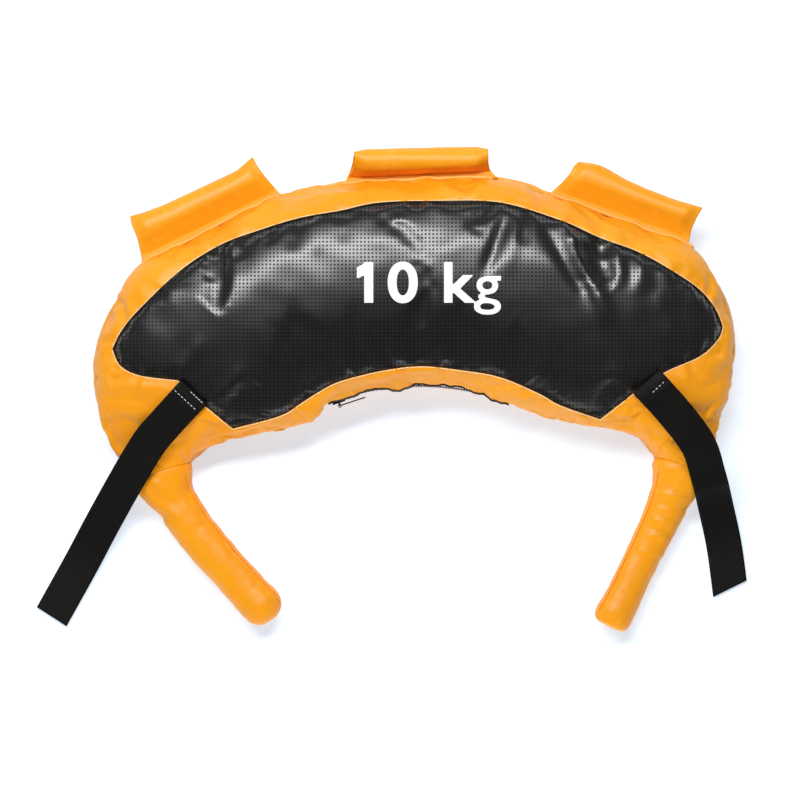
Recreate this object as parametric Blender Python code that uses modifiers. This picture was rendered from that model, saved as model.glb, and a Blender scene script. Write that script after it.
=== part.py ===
"""Sandbag trainer: a crescent bag of coated cloth, filled with sand sacks and wadding, with two
horn grips, two webbing loops, three top handles and a filling zip under its arch.

Metres, +Z up. The bag lies on its back. +Y points to the top handles, +X to the right, and the
origin is on the flat back, under the middle of the bag.
"""

import math

import bmesh
import bpy
from mathutils import Matrix, Vector
from mathutils.bvhtree import BVHTree

# Bag body: half of its length, its rise from lobes to crown line, and its heights
BODY_HALF_SPAN = 0.287
BODY_RISE = 0.247
CROWN_HEIGHT = 0.104
SEAM_HEIGHT = 0.046
FLAT_SHARE = 0.76
DOME_POWER = 2.15
BACK_TURN_SHARE = 0.3
SMOOTH_ANGLE = math.radians(40)
MERGE_DISTANCE = 0.00001

# Skins, fillings and running gaps
SKIN = 0.0012
GAP = 0.0003
SEAM_GAP = 0.0004
FILL_GAP = 0.0006
BACK_LIFT = 0.0004
CUT_OVERRUN = 0.02

# Horn grips
NECK_LENGTH = 0.036
HORN_LENGTH = 0.125
HORN_ROOT_RADIUS = 0.019
HORN_WAIST_RADIUS = 0.0186
HORN_END_RADIUS = 0.0196
HORN_HEADINGS = {"left": math.radians(39.4), "right": math.radians(-26)}
FLOOR_GAP = 0.0005
PIPING_RADIUS = 0.0009
PIPING_TURN = math.radians(38)

# Webbing loops
WEBBING_WIDTH = 0.032
WEBBING_PLY = 0.0013
WEBBING_SLIT = 0.0003
LOOP_CLEARANCE = 0.0004
ANCHOR_LENGTH = 0.0095

# Top handles
HANDLE_BASE = 0.138
HANDLE_GRIP = 0.121
HANDLE_REACH = 0.035
HANDLE_ROLL_RADIUS = 0.0105
HANDLE_WALL = 0.0015
HANDLE_HINGE_OFFSET = 0.005
FLANGE_THICKNESS = 0.0024
HINGE_EDGE = 0.0008
HANDLE_PLACES = {"left": 7.36, "centre": 10.0, "right": 12.72}
HANDLE_HEADING_PLACES = 0.8
FLANGE_PLACES = 1.6
HANDLE_TILTS = {"left": 0.0, "centre": math.radians(45), "right": 0.0}

# Filling zip, on an arc about a centre in front of the arch
ARCH_RADIUS = 0.234
ARCH_CENTRE_X = 0.0018
ARCH_CROWN_Y = -0.09
ARCH_CENTRE_Y = ARCH_CROWN_Y - ARCH_RADIUS
ZIP_LENGTH = 0.1690805166
ZIP_HALF_ANGLE = ZIP_LENGTH / 2 / ARCH_RADIUS
ARCH_HOLD_SHARE = 1.03
ARCH_FADE_SHARE = 0.2
ZIP_TAPE_HEIGHT = 0.0104
ZIP_TAPE_THICKNESS = 0.001
CHAIN_HEIGHT = 0.005
CHAIN_THICKNESS = 0.002
SLIDER_LENGTH = 0.012
SLIDER_HEIGHT = 0.009
SLIDER_FACE = 0.0024
STOP_LENGTH = 0.003
PULL_LENGTH = 0.024
PULL_WIDTH = 0.0036
PULL_THICKNESS = 0.0012
BRIDGE_RADIUS = 0.0008
BRIDGE_REACH = 0.0024
BRIDGE_POST = 0.0012
EYE_WALL = 0.0008

# Sections of the body from the left mouth to the right mouth: outer edge x and y, inner edge x and
# y, as shares of the half span and the rise, then shares of the crown and seam heights
SECTION_SHARES = (
    (-0.900, -0.711, -0.709, -0.645, 0.43, 0.50),
    (-0.953, -0.590, -0.668, -0.605, 0.50, 0.58),
    (-0.994, -0.474, -0.593, -0.569, 0.60, 0.70),
    (-1.010, -0.346, -0.499, -0.543, 0.70, 0.82),
    (-0.997, -0.200, -0.417, -0.528, 0.79, 0.91),
    (-0.944, -0.055, -0.348, -0.488, 0.87, 0.98),
    (-0.862, 0.077, -0.285, -0.426, 0.93, 1.00),
    (-0.706, 0.168, -0.238, -0.408, 0.97, 1.00),
    (-0.524, 0.277, -0.179, -0.388, 1.00, 1.00),
    (-0.310, 0.357, -0.091, -0.368, 1.00, 1.00),
    (0.000, 0.383, 0.006, -0.364, 1.00, 1.00),
    (0.251, 0.386, 0.103, -0.370, 1.00, 1.00),
    (0.480, 0.306, 0.198, -0.391, 1.00, 1.00),
    (0.699, 0.211, 0.267, -0.414, 0.97, 1.00),
    (0.856, 0.138, 0.326, -0.446, 0.93, 1.00),
    (0.944, 0.000, 0.417, -0.485, 0.87, 0.98),
    (0.988, -0.157, 0.511, -0.507, 0.79, 0.91),
    (0.985, -0.317, 0.593, -0.521, 0.70, 0.82),
    (0.956, -0.463, 0.668, -0.547, 0.60, 0.70),
    (0.938, -0.572, 0.721, -0.583, 0.50, 0.58),
    (0.919, -0.681, 0.746, -0.627, 0.43, 0.50),
)
LAST_PLACE = len(SECTION_SHARES) - 1
STATIONS_PER_SECTION = 2
DOME_STEPS = 14
SIDE_STEPS = 4

# Places along the body where one filling ends and the next begins
SACK_ENDS = {"left": (3.3, 7.7), "middle": (7.7, 12.3), "right": (12.3, 16.7)}
WADDING_ENDS = {"left": (0.0, 3.3), "right": (16.7, float(LAST_PLACE))}
SACK_PLACE_GAP = 0.012
PLACE_MARGIN_SHARE = 0.1
NEAR_PLACE = 0.01

# Outline of the front panel, as shares of the half span and the rise, clockwise from the left tip
PANEL_SHARES = (
    (-0.956, -0.233), (-0.925, -0.164), (-0.869, -0.087), (-0.743, 0.051), (-0.618, 0.145),
    (-0.492, 0.200), (-0.367, 0.244), (-0.241, 0.270), (-0.116, 0.300), (0.072, 0.306),
    (0.260, 0.300), (0.448, 0.236), (0.574, 0.171), (0.699, 0.117), (0.825, 0.033),
    (0.894, -0.026), (0.938, -0.091), (0.960, -0.153), (0.944, -0.200), (0.887, -0.262),
    (0.775, -0.321), (0.674, -0.401), (0.574, -0.492), (0.448, -0.441), (0.386, -0.401),
    (0.260, -0.339), (0.135, -0.313), (0.009, -0.299), (-0.116, -0.317), (-0.241, -0.354),
    (-0.304, -0.390), (-0.367, -0.437), (-0.430, -0.480), (-0.577, -0.526), (-0.659, -0.448),
    (-0.749, -0.350), (-0.869, -0.332), (-0.931, -0.295),
)

# Routes of the webbing loops in plan, as shares of the half span and the rise, then the height as a
# share of the root's height: at each place the webbing lies at that height or on what is under it
LOOP_SHARES = {
    "left": (
        (-0.704, -0.399, 1.00), (-0.792, -0.510, 0.88), (-0.844, -0.583, 0.76),
        (-0.920, -0.729, 0.52), (-0.991, -0.875, 0.20), (-1.058, -1.020, 0.03),
        (-1.149, -1.210, 0.00),
    ),
    "right": (
        (0.724, -0.361, 1.00), (0.812, -0.474, 0.90), (0.881, -0.583, 0.78),
        (0.913, -0.692, 0.50), (0.938, -0.802, 0.19), (0.966, -0.948, 0.03),
        (0.985, -1.108, 0.00),
    ),
}
LOOP_STATIONS = 30
LOOP_TILT = 0.35
LOOP_SMOOTHING = 6
FOLD_STEPS = 4
ACROSS_SHARES = (-0.52, -0.48, -0.35, -0.2, 0.0, 0.2, 0.35, 0.48, 0.52)
BETWEEN_SHARES = (0.0, 0.25, 0.5, 0.75)

ORANGE = (0.955, 0.392, 0.022)
BLACK = (0.016, 0.015, 0.014)
WEBBING_BLACK = (0.008, 0.008, 0.007)
CHAIN_BLACK = (0.012, 0.012, 0.012)
SAND_BAG = (0.62, 0.52, 0.36)
WADDING_WHITE = (0.82, 0.80, 0.76)
FOAM_GREY = (0.10, 0.10, 0.11)


def clear_scene():
    for old in list(bpy.data.objects):
        bpy.data.objects.remove(old, do_unlink=True)


def new_collection(name):
    collection = bpy.data.collections.new(name)
    bpy.context.scene.collection.children.link(collection)
    return collection


def finish(name, colour, roughness, metallic=0.0):
    material = bpy.data.materials.new(name)
    material.use_nodes = True
    shader = material.node_tree.nodes["Principled BSDF"]
    shader.inputs["Base Color"].default_value = (*colour, 1)
    shader.inputs["Roughness"].default_value = roughness
    shader.inputs["Metallic"].default_value = metallic
    return material


def add_object(name, data, collection, material=None, parent=None):
    made = bpy.data.objects.new(name, data)
    collection.objects.link(made)
    if material:
        data.materials.append(material)
    if parent:
        made.parent = parent
        made.matrix_parent_inverse = parent.matrix_world.inverted()
    return made


def add_empty(name, collection, matrix):
    empty = bpy.data.objects.new(name, None)
    empty.matrix_world = matrix
    collection.objects.link(empty)
    bpy.context.view_layer.update()
    return empty


def mesh_from(form, name):
    mesh = bpy.data.meshes.new(name)
    form.to_mesh(mesh)
    form.free()
    mesh.shade_smooth()
    mesh.set_sharp_from_angle(angle=SMOOTH_ANGLE)
    return mesh


def add_wall(made, thickness):
    """Gives an open surface a wall on its inner side."""
    wall = made.modifiers.new("wall", "SOLIDIFY")
    wall.thickness = thickness
    wall.offset = -1
    return wall


def cut(made, cutter, operation="DIFFERENCE"):
    modifier = made.modifiers.new("cut", "BOOLEAN")
    modifier.object = cutter
    modifier.operation = operation
    modifier.solver = "EXACT"


def smooth_row(rows, place):
    """The row of numbers at a place between two rows, on a smooth curve through them all."""
    last = len(rows) - 1
    first = min(max(int(place), 0), last - 1)
    share = place - first
    before, start, end, after = (rows[min(max(first + step, 0), last)] for step in (-1, 0, 1, 2))
    found = []
    for a, b, c, d in zip(before, start, end, after):
        curve = (2 * a - 5 * b + 4 * c - d) * share + (3 * b - a - 3 * c + d) * share**2
        found.append(b + 0.5 * share * ((c - a) + curve))
    return found


def on_arch(x, y):
    """The inner edge drawn onto the zip's arc, all the way over the zip and fading past its ends."""
    centre = Vector((ARCH_CENTRE_X, ARCH_CENTRE_Y))
    spoke = Vector((x, y)) - centre
    past = abs(math.atan2(spoke.x, spoke.y)) / ZIP_HALF_ANGLE - ARCH_HOLD_SHARE
    hold = 1 - min(max(past / ARCH_FADE_SHARE, 0), 1)
    seated = centre + spoke.normalized() * ARCH_RADIUS
    return Vector((x, y)).lerp(seated, hold)


def section(place):
    """Middle, direction across, half width, crown height and seam height of the body at a place."""
    outer_x, outer_y, inner_x, inner_y, crown, seam = smooth_row(SECTION_SHARES, place)
    outer = Vector((outer_x * BODY_HALF_SPAN, outer_y * BODY_RISE))
    inner = on_arch(inner_x * BODY_HALF_SPAN, inner_y * BODY_RISE)
    across = outer - inner
    middle = (outer + inner) / 2
    return middle, across.normalized(), across.length / 2, crown * CROWN_HEIGHT, seam * SEAM_HEIGHT


def power(value, exponent):
    return math.copysign(abs(value) ** exponent, value)


def profile(turn, half_width, crown, seam):
    """Across and up on a section's outline. Turn 0 is the outer seam, 1 the crown, 2 the inner
    seam and 3 the middle of the flat back."""
    turn = turn % 4
    if turn <= 2:
        angle = turn * math.pi / 2
        across = half_width * power(math.cos(angle), 2 / DOME_POWER)
        return across, seam + (crown - seam) * power(math.sin(angle), 2 / DOME_POWER)
    side = 1 if turn > 3 else -1
    from_middle = abs(turn - 3)
    flat = half_width * FLAT_SHARE
    if from_middle < BACK_TURN_SHARE:
        return side * flat * from_middle / BACK_TURN_SHARE, 0.0
    angle = (from_middle - BACK_TURN_SHARE) / (1 - BACK_TURN_SHARE) * math.pi / 2
    return side * (flat + (half_width - flat) * math.sin(angle)), seam * (1 - math.cos(angle))


def turn_above_back(place, height, side):
    """The turn at which a section's lower side is at a height over the floor."""
    seam = section(place)[4]
    angle = math.acos(1 - min(height / seam, 1))
    return 3 + side * (BACK_TURN_SHARE + (1 - BACK_TURN_SHARE) * angle / (math.pi / 2))


def turn_at_dome(place, rise):
    """How far in turns the dome has risen above the seam by a small height."""
    _, _, _, crown, seam = section(place)
    return math.asin((rise / (crown - seam)) ** (DOME_POWER / 2)) / (math.pi / 2)


def surface_point(place, turn):
    middle, across, half_width, crown, seam = section(place)
    along, up = profile(turn, half_width, crown, seam)
    flat = middle + across * along
    return Vector((flat.x, flat.y, up))


def outwards_at(place, turn):
    """The bag's outward direction at a point."""
    ahead = surface_point(min(place + NEAR_PLACE, LAST_PLACE), turn)
    behind = surface_point(max(place - NEAR_PLACE, 0), turn)
    around = surface_point(place, turn + NEAR_PLACE) - surface_point(place, turn - NEAR_PLACE)
    return around.cross(ahead - behind).normalized()


def skin_point(place, turn, inset=0.0):
    """A point of the bag's outer surface, or one that deep under it in the same section."""
    point = surface_point(place, turn)
    if not inset:
        return point
    outwards = outwards_at(place, turn)
    across = section(place)[1]
    along = Vector((-across.y, across.x, 0))
    in_section = outwards - along * outwards.dot(along)
    return point - in_section * inset / in_section.length_squared


def spread(start, end, steps):
    return [start + (end - start) * step / steps for step in range(steps + 1)]


def ring_turns():
    """Turns round a whole section, close enough for a filling."""
    dome = spread(0, 2, DOME_STEPS)
    inner_side = spread(2, 3 - BACK_TURN_SHARE, SIDE_STEPS)[1:]
    outer_side = spread(3 + BACK_TURN_SHARE, 4, SIDE_STEPS)[:-1]
    return dome + inner_side + outer_side


def patch(name, places, turns_at, collection, material):
    """An open patch of the bag's surface, bent from a flat grid."""
    steps = len(turns_at(places[0])) - 1
    form = bmesh.new()
    bmesh.ops.create_grid(form, x_segments=len(places) - 1, y_segments=steps, size=0.5)
    for vertex in form.verts:
        column = round((vertex.co.x + 0.5) * (len(places) - 1))
        row = round((vertex.co.y + 0.5) * steps)
        vertex.co = skin_point(places[column], turns_at(places[column])[row])
    bmesh.ops.reverse_faces(form, faces=form.faces)
    made = add_object(name, mesh_from(form, name), collection, material)
    add_wall(made, SKIN)
    return made


def tube_form(rings, capped):
    """A cylinder bent through a list of rings of points."""
    corners = len(rings[0])
    form = bmesh.new()
    bmesh.ops.create_cone(
        form, cap_ends=capped, segments=corners, radius1=1, radius2=1, depth=len(rings) - 1
    )
    sides = [edge for edge in form.edges if abs(edge.verts[0].co.z - edge.verts[1].co.z) > 0.5]
    if len(rings) > 2:
        bmesh.ops.subdivide_edges(form, edges=sides, cuts=len(rings) - 2)
    places = {}
    for vertex in form.verts:
        ring = round(vertex.co.z + (len(rings) - 1) / 2)
        corner = round(math.atan2(vertex.co.y, vertex.co.x) / (2 * math.pi) * corners) % corners
        places[vertex] = rings[ring][corner]
    for vertex, place in places.items():
        vertex.co = place
    bmesh.ops.recalc_face_normals(form, faces=form.faces)
    if capped and form.calc_volume(signed=True) < 0:
        bmesh.ops.reverse_faces(form, faces=form.faces)
    return form


def add_tube(name, rings, collection, material, capped=True, parent=None):
    form = tube_form(rings, capped)
    if parent:
        bmesh.ops.transform(form, matrix=parent.matrix_world.inverted(), verts=form.verts)
    made = add_object(name, mesh_from(form, name), collection, material)
    made.parent = parent
    return made


def prism(name, outline, bottom, top, collection, material=None):
    """A flat outline, pulled straight up."""
    form = bmesh.new()
    corners = [form.verts.new((x, y, bottom)) for x, y in outline]
    face = form.faces.new(corners)
    raised = bmesh.ops.extrude_face_region(form, geom=[face])["geom"]
    lifted = [item for item in raised if isinstance(item, bmesh.types.BMVert)]
    bmesh.ops.translate(form, vec=(0, 0, top - bottom), verts=lifted)
    bmesh.ops.recalc_face_normals(form, faces=form.faces)
    return add_object(name, mesh_from(form, name), collection, material)


def hide_cutter(made):
    made.hide_render = True
    made.display_type = "WIRE"
    return made


def offset_outline(outline, distance):
    """A clockwise outline moved outwards by a distance, corner by corner."""
    moved = []
    count = len(outline)
    for index, point in enumerate(outline):
        to_next = (Vector(outline[(index + 1) % count]) - Vector(point)).normalized()
        to_last = (Vector(point) - Vector(outline[index - 1])).normalized()
        outwards = (Vector((-to_next.y, to_next.x)) + Vector((-to_last.y, to_last.x))).normalized()
        moved.append(Vector(point) + outwards * distance)
    return moved


def body_places():
    return spread(0, LAST_PLACE, LAST_PLACE * STATIONS_PER_SECTION)


def arc_point(angle, radius, height):
    """A point round the arch's centre. Angle 0 is the arch's crown, and left is positive."""
    x = ARCH_CENTRE_X - math.sin(angle) * radius
    return Vector((x, ARCH_CENTRE_Y + math.cos(angle) * radius, height))


def arc_bar(name, angles, radii, heights, collection, material=None, parent=None):
    """A bar of square section that follows the arch."""
    rings = [
        [arc_point(angle, radii[a], heights[b]) for a, b in ((0, 0), (1, 0), (1, 1), (0, 1))]
        for angle in angles
    ]
    return add_tube(name, rings, collection, material, parent=parent)


def make_front(parts, cutters, orange, black):
    """Black front panel in its orange band, both cut from one domed skin."""
    def dome_turns(place):
        low = turn_at_dome(place, SEAM_GAP / 2)
        return spread(low, 2 - low, DOME_STEPS)

    outline = [(x * BODY_HALF_SPAN, y * BODY_RISE) for x, y in PANEL_SHARES]
    top = CROWN_HEIGHT + CUT_OVERRUN
    inside = hide_cutter(prism("panel_cutter", outline, 0, top, cutters))
    wider = offset_outline(outline, SEAM_GAP)
    outside = hide_cutter(prism("panel_opening_cutter", wider, 0, top, cutters))
    panel = patch("front_panel", body_places(), dome_turns, parts, black)
    cut(panel, inside, "INTERSECT")
    band = patch("front_band", body_places(), dome_turns, parts, orange)
    cut(band, outside)
    return panel, band


def make_sides(parts, orange):
    """Orange strips between the front's seam and the flat back, outside and under the arch."""
    def outer_turns(place):
        return spread(turn_above_back(place, BACK_LIFT, 1), seam_turn(place, 1), SIDE_STEPS + 2)

    def inner_turns(place):
        return spread(seam_turn(place, -1), turn_above_back(place, BACK_LIFT, -1), SIDE_STEPS + 2)

    def seam_turn(place, side):
        return turn_above_back(place, section(place)[4] - SEAM_GAP / 2, side)

    outer = patch("outer_side_strip", body_places(), outer_turns, parts, orange)
    inner = patch("inner_side_strip", body_places(), inner_turns, parts, orange)
    return outer, inner


def make_back(parts, black):
    """Flat black back panel, on which the bag lies."""
    edges = {1: [], -1: []}
    for place in body_places():
        for side, points in edges.items():
            brim = surface_point(place, turn_above_back(place, BACK_LIFT / 4, side))
            seam = outwards_at(place, 1 - side)
            points.append(brim.xy - seam.xy.normalized() * SKIN)
    return prism("back_panel", edges[1] + edges[-1][::-1], 0, SKIN, parts, black)


def make_filling(parts, sand, wadding):
    """Sand sacks along the body and wadding in its two lobes, close inside the skins."""
    turns = ring_turns()
    ends = {f"sand_sack_{side}": span for side, span in SACK_ENDS.items()}
    ends.update({f"lobe_wadding_{side}": span for side, span in WADDING_ENDS.items()})
    for name, (start, end) in ends.items():
        inner = (start + PLACE_MARGIN_SHARE, end - PLACE_MARGIN_SHARE)
        between = [place for place in body_places() if inner[0] < place < inner[1]]
        places = [start + SACK_PLACE_GAP] + between + [end - SACK_PLACE_GAP]
        rings = [[skin_point(place, turn, SKIN + FILL_GAP) for turn in turns] for place in places]
        add_tube(name, rings, parts, sand if name.startswith("sand") else wadding)


def horn_frame(side):
    """The mouth's middle and way out, the pivot, the sleeve's root and the horn's heading."""
    place = 0.0 if side == "left" else float(LAST_PLACE)
    middle, across, _, _, _ = section(place)
    outwards = Vector((across.y, -across.x))
    if outwards.y > 0:
        outwards = -outwards
    heading = Vector((math.sin(HORN_HEADINGS[side]), -math.cos(HORN_HEADINGS[side])))
    pivot = middle + outwards * NECK_LENGTH / 2
    root = pivot + heading * NECK_LENGTH / 2
    return middle, outwards, pivot, root, heading


def horn_axis_height():
    return HORN_END_RADIUS + FLOOR_GAP


def neck_rings(side, inset, start, end):
    """Rings from the body's mouth to the sleeve's root, from a start share to an end share."""
    place = 0.0 if side == "left" else float(LAST_PLACE)
    middle, outwards, pivot, root, heading = horn_frame(side)
    _, across, half_width, crown, seam = section(place)
    rings = []
    for share in spread(start, end, 6):
        low = middle.lerp(pivot, share)
        centre = low.lerp(pivot.lerp(root, share), share)
        forward = outwards.lerp(heading, share).normalized()
        sideways = Vector((-forward.y, forward.x))
        if sideways.dot(across) < 0:
            sideways = -sideways
        blend = share * share * (3 - 2 * share)
        ring = []
        for turn in ring_turns():
            mouth_x, mouth_z = profile(turn, half_width, crown, seam)
            angle = math.atan2(mouth_z - seam, mouth_x)
            round_x = HORN_ROOT_RADIUS * math.cos(angle)
            round_z = horn_axis_height() + HORN_ROOT_RADIUS * math.sin(angle)
            x = mouth_x + (round_x - mouth_x) * blend
            z = mouth_z + (round_z - mouth_z) * blend
            middle_z = seam + (horn_axis_height() - seam) * blend
            arm = Vector((x, z - middle_z))
            arm -= arm.normalized() * inset
            flat = centre + sideways * arm.x
            ring.append(Vector((flat.x, flat.y, middle_z + arm.y)))
        rings.append(ring)
    return rings


def turned(name, outline, matrix, collection, material, parent):
    """A profile of radius and height, listed from its top down, turned about its own Z."""
    form = bmesh.new()
    corners = [form.verts.new((radius, 0, height)) for radius, height in outline]
    for first, second in zip(corners, corners[1:]):
        form.edges.new((first, second))
    made = add_object(name, mesh_from(form, name), collection, material)
    made.matrix_world = matrix
    made.parent = parent
    made.matrix_parent_inverse = parent.matrix_world.inverted()
    screw = made.modifiers.new("turn", "SCREW")
    screw.steps = 20
    screw.render_steps = 20
    screw.use_merge_vertices = True
    screw.merge_threshold = MERGE_DISTANCE
    return made


def horn_outline(inset, root_inset):
    """Radius and height of a horn from its tip down to its root."""
    dome = HORN_END_RADIUS - inset
    dome_foot = HORN_LENGTH - HORN_END_RADIUS
    outline = [
        (dome * math.sin(angle), dome_foot + dome * math.cos(angle))
        for angle in spread(0, math.pi / 2, 5)
    ]
    outline.append((HORN_WAIST_RADIUS - inset, HORN_LENGTH / 2))
    outline.append((HORN_ROOT_RADIUS - inset, root_inset))
    return outline


def make_horns(parts, orange, wadding):
    """Per side: the soft neck with its wadding, then the grip's sleeve, core and piping."""
    for side in HORN_HEADINGS:
        _, _, pivot, root, heading = horn_frame(side)
        ends = SEAM_GAP / NECK_LENGTH
        neck_skin = add_tube(
            f"horn_{side}_neck", neck_rings(side, 0.0, ends, 1 - ends), parts, orange, capped=False
        )
        add_wall(neck_skin, SKIN)
        inner = neck_rings(side, SKIN + FILL_GAP, 2 * ends, 1 - ends)
        add_tube(f"horn_{side}_neck_wadding", inner, parts, wadding)

        place = Matrix.Translation((pivot.x, pivot.y, horn_axis_height()))
        empty = add_empty(f"horn_{side}_pivot", parts, place)
        forward = Vector((heading.x, heading.y, 0))
        turn = forward.to_track_quat("Z", "Y").to_matrix().to_4x4()
        place = Matrix.Translation((root.x, root.y, horn_axis_height())) @ turn
        wall = horn_outline(0.0, 0.0) + horn_outline(SKIN, 0.0)[::-1]
        turned(f"horn_{side}_sleeve", wall, place, parts, orange, empty)
        core = horn_outline(SKIN + FILL_GAP, SEAM_GAP)
        turned(f"horn_{side}_core", core + [(0.0, SEAM_GAP)], place, parts, wadding, empty)
        make_piping(side, root, heading, parts, orange, empty)


def horn_radius(share):
    """Radius of the sleeve at a share of its length."""
    if share < 0.5:
        return HORN_ROOT_RADIUS + (HORN_WAIST_RADIUS - HORN_ROOT_RADIUS) * share * 2
    foot = 1 - HORN_END_RADIUS / HORN_LENGTH
    rise = min((share - 0.5) / (foot - 0.5), 1)
    return HORN_WAIST_RADIUS + (HORN_END_RADIUS - HORN_WAIST_RADIUS) * rise


def make_piping(side, root, heading, parts, orange, parent):
    """The sewn ridge along a grip, on its side towards the arch."""
    inwards = Vector((-heading.y, heading.x))
    if inwards.dot(Vector((1, 0))) * (1 if side == "left" else -1) < 0:
        inwards = -inwards
    curve = bpy.data.curves.new(f"horn_{side}_piping", "CURVE")
    curve.dimensions = "3D"
    curve.bevel_depth = PIPING_RADIUS
    curve.bevel_resolution = 1
    curve.use_fill_caps = True
    shares = (0.06, 0.28, 0.5, 0.67, 0.84)
    line = curve.splines.new("POLY")
    line.points.add(len(shares) - 1)
    for point, share in zip(line.points, shares):
        arm = horn_radius(share) + PIPING_RADIUS + GAP
        flat = root + heading * HORN_LENGTH * share + inwards * arm * math.cos(PIPING_TURN)
        up = horn_axis_height() + arm * math.sin(PIPING_TURN)
        place = parent.matrix_world.inverted() @ Vector((flat.x, flat.y, up))
        point.co = (*place, 1)
    made = add_object(f"horn_{side}_piping", curve, parts, orange)
    made.parent = parent


def ground_tree(names):
    """A search tree of the finished surfaces that the webbing lies on."""
    graph = bpy.context.evaluated_depsgraph_get()
    form = bmesh.new()
    for name in names:
        solid = bpy.data.objects[name].evaluated_get(graph)
        part = solid.to_mesh()
        part.transform(solid.matrix_world)
        form.from_mesh(part)
        solid.to_mesh_clear()
    tree = BVHTree.FromBMesh(form)
    form.free()
    return tree


def height_under(tree, x, y):
    """Height of what is under a place, or the floor gap over the floor."""
    hit = tree.ray_cast(Vector((x, y, CROWN_HEIGHT * 2)), Vector((0, 0, -1)))
    return hit[0].z if hit[0] else FLOOR_GAP


def height_over(tree, spot, sideways, tilt, slope):
    """Least height of the webbing's middle that clears what is under its whole width."""
    lifts = [
        height_under(tree, *(spot + sideways * WEBBING_WIDTH * share)) - tilt * share * WEBBING_WIDTH
        for share in ACROSS_SHARES
    ]
    thickness = (WEBBING_PLY + WEBBING_SLIT / 2) * math.sqrt(1 + tilt**2 + slope**2)
    return max(lifts) + LOOP_CLEARANCE + thickness


def loop_stations(side, tree):
    """Places along a webbing loop: middle, across direction and run so far."""
    route = LOOP_SHARES[side]
    spots, heights, sides, tilts = [], [], [], []
    for place in spread(0, len(route) - 1, LOOP_STATIONS):
        x, y, height = smooth_row(route, place)
        spots.append(Vector((x * BODY_HALF_SPAN, y * BODY_RISE)))
        heights.append(height)
    last = len(spots) - 1
    for index, spot in enumerate(spots):
        ahead = spots[min(index + 1, last)] - spots[max(index - 1, 0)]
        sides.append(Vector((-ahead.y, ahead.x)).normalized())
        ends = [spot + sides[-1] * WEBBING_WIDTH * share for share in (-0.5, 0.5)]
        under = [height_under(tree, *end) for end in ends]
        on_bag = min(under) > FLOOR_GAP
        tilt = (under[1] - under[0]) / WEBBING_WIDTH if on_bag else 0.0
        tilts.append(min(max(tilt, -LOOP_TILT), LOOP_TILT))
    for _ in range(LOOP_SMOOTHING):
        for index in range(1, last):
            tilts[index] = (tilts[index - 1] + 2 * tilts[index] + tilts[index + 1]) / 4
    root_height = height_under(tree, *spots[0])
    least = [height_over(tree, *place, 0.0) for place in zip(spots, sides, tilts)]
    levels = [max(low, share * root_height) for low, share in zip(least, heights)]
    for _ in range(LOOP_SMOOTHING):
        for index in range(1, last):
            mean = (levels[index - 1] + levels[index + 1]) / 2
            levels[index] = max(least[index], (levels[index] + mean) / 2)
    for index in range(last):
        step = spots[index + 1] - spots[index]
        for share in BETWEEN_SHARES:
            slope = (levels[index + 1] - levels[index]) / step.length
            sideways = sides[index].lerp(sides[index + 1], share)
            tilt = tilts[index] + (tilts[index + 1] - tilts[index]) * share
            level = levels[index] + (levels[index + 1] - levels[index]) * share
            needed = height_over(tree, spots[index] + step * share, sideways, tilt, slope)
            levels[index] += max(needed - level, 0.0)
            levels[index + 1] += max(needed - level, 0.0)
    found = []
    run = 0.0
    for spot, level, sideways, tilt in zip(spots, levels, sides, tilts):
        middle = Vector((spot.x, spot.y, level))
        if found:
            run += (middle - found[-1][0]).length
        found.append((middle, Vector((sideways.x, sideways.y, tilt)).normalized(), run))
    return found


def at_run(stations, run):
    """Middle, across and along directions at a run along the webbing."""
    index = 0
    while index < len(stations) - 2 and stations[index + 1][2] < run:
        index += 1
    first, second = stations[index], stations[index + 1]
    share = (run - first[2]) / (second[2] - first[2])
    middle = first[0].lerp(second[0], share)
    across = first[1].lerp(second[1], share).normalized()
    before = stations[max(index - 1, 0)][0]
    after = stations[min(index + 2, len(stations) - 1)][0]
    along = ((second[0] - first[0]) * 2 + (after - before)).normalized()
    return middle, across, along


def upwards(across, along):
    up = across.cross(along)
    return up if up.z > 0 else -up


def webbing_ring(middle, across, along, offset, half_thickness):
    """Four corners of the webbing, moved up from its middle by an offset."""
    up = upwards(across, along)
    centre = middle + up * offset
    half = across * WEBBING_WIDTH / 2
    ply = up * half_thickness
    return [centre - half - ply, centre + half - ply, centre + half + ply, centre - half + ply]


def make_loops(parts, webbing):
    """Per side: the root sewn to the bag, and the folded webbing loop beyond its stitch line."""
    under = ["front_panel", "front_band", "outer_side_strip"]
    under += [f"horn_{side}_{piece}" for side in HORN_HEADINGS for piece in ("neck", "sleeve")]
    tree = ground_tree(under)
    for side in LOOP_SHARES:
        stations = loop_stations(side, tree)
        half_root = WEBBING_PLY + WEBBING_SLIT / 2
        root = [
            webbing_ring(*at_run(stations, run), 0, half_root)
            for run in spread(GAP, ANCHOR_LENGTH, 2)
        ]
        add_tube(f"loop_{side}_root", root, parts, webbing)

        hinge = stitch_frame(stations, ANCHOR_LENGTH + GAP / 2, half_root)
        empty = add_empty(f"loop_{side}_hinge", parts, hinge)
        add_tube(f"loop_{side}", loop_rings(stations), parts, webbing, parent=empty)


def stitch_frame(stations, run, height):
    """Frame on top of the stitch line: X along it, Y along the webbing, so that +X lifts it."""
    middle, across, along = at_run(stations, run)
    up = upwards(across, along).normalized()
    stitch = along.cross(up).normalized()
    basis = Matrix((stitch, up.cross(stitch), up)).transposed().to_4x4()
    return Matrix.Translation(middle + up * height) @ basis


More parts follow.
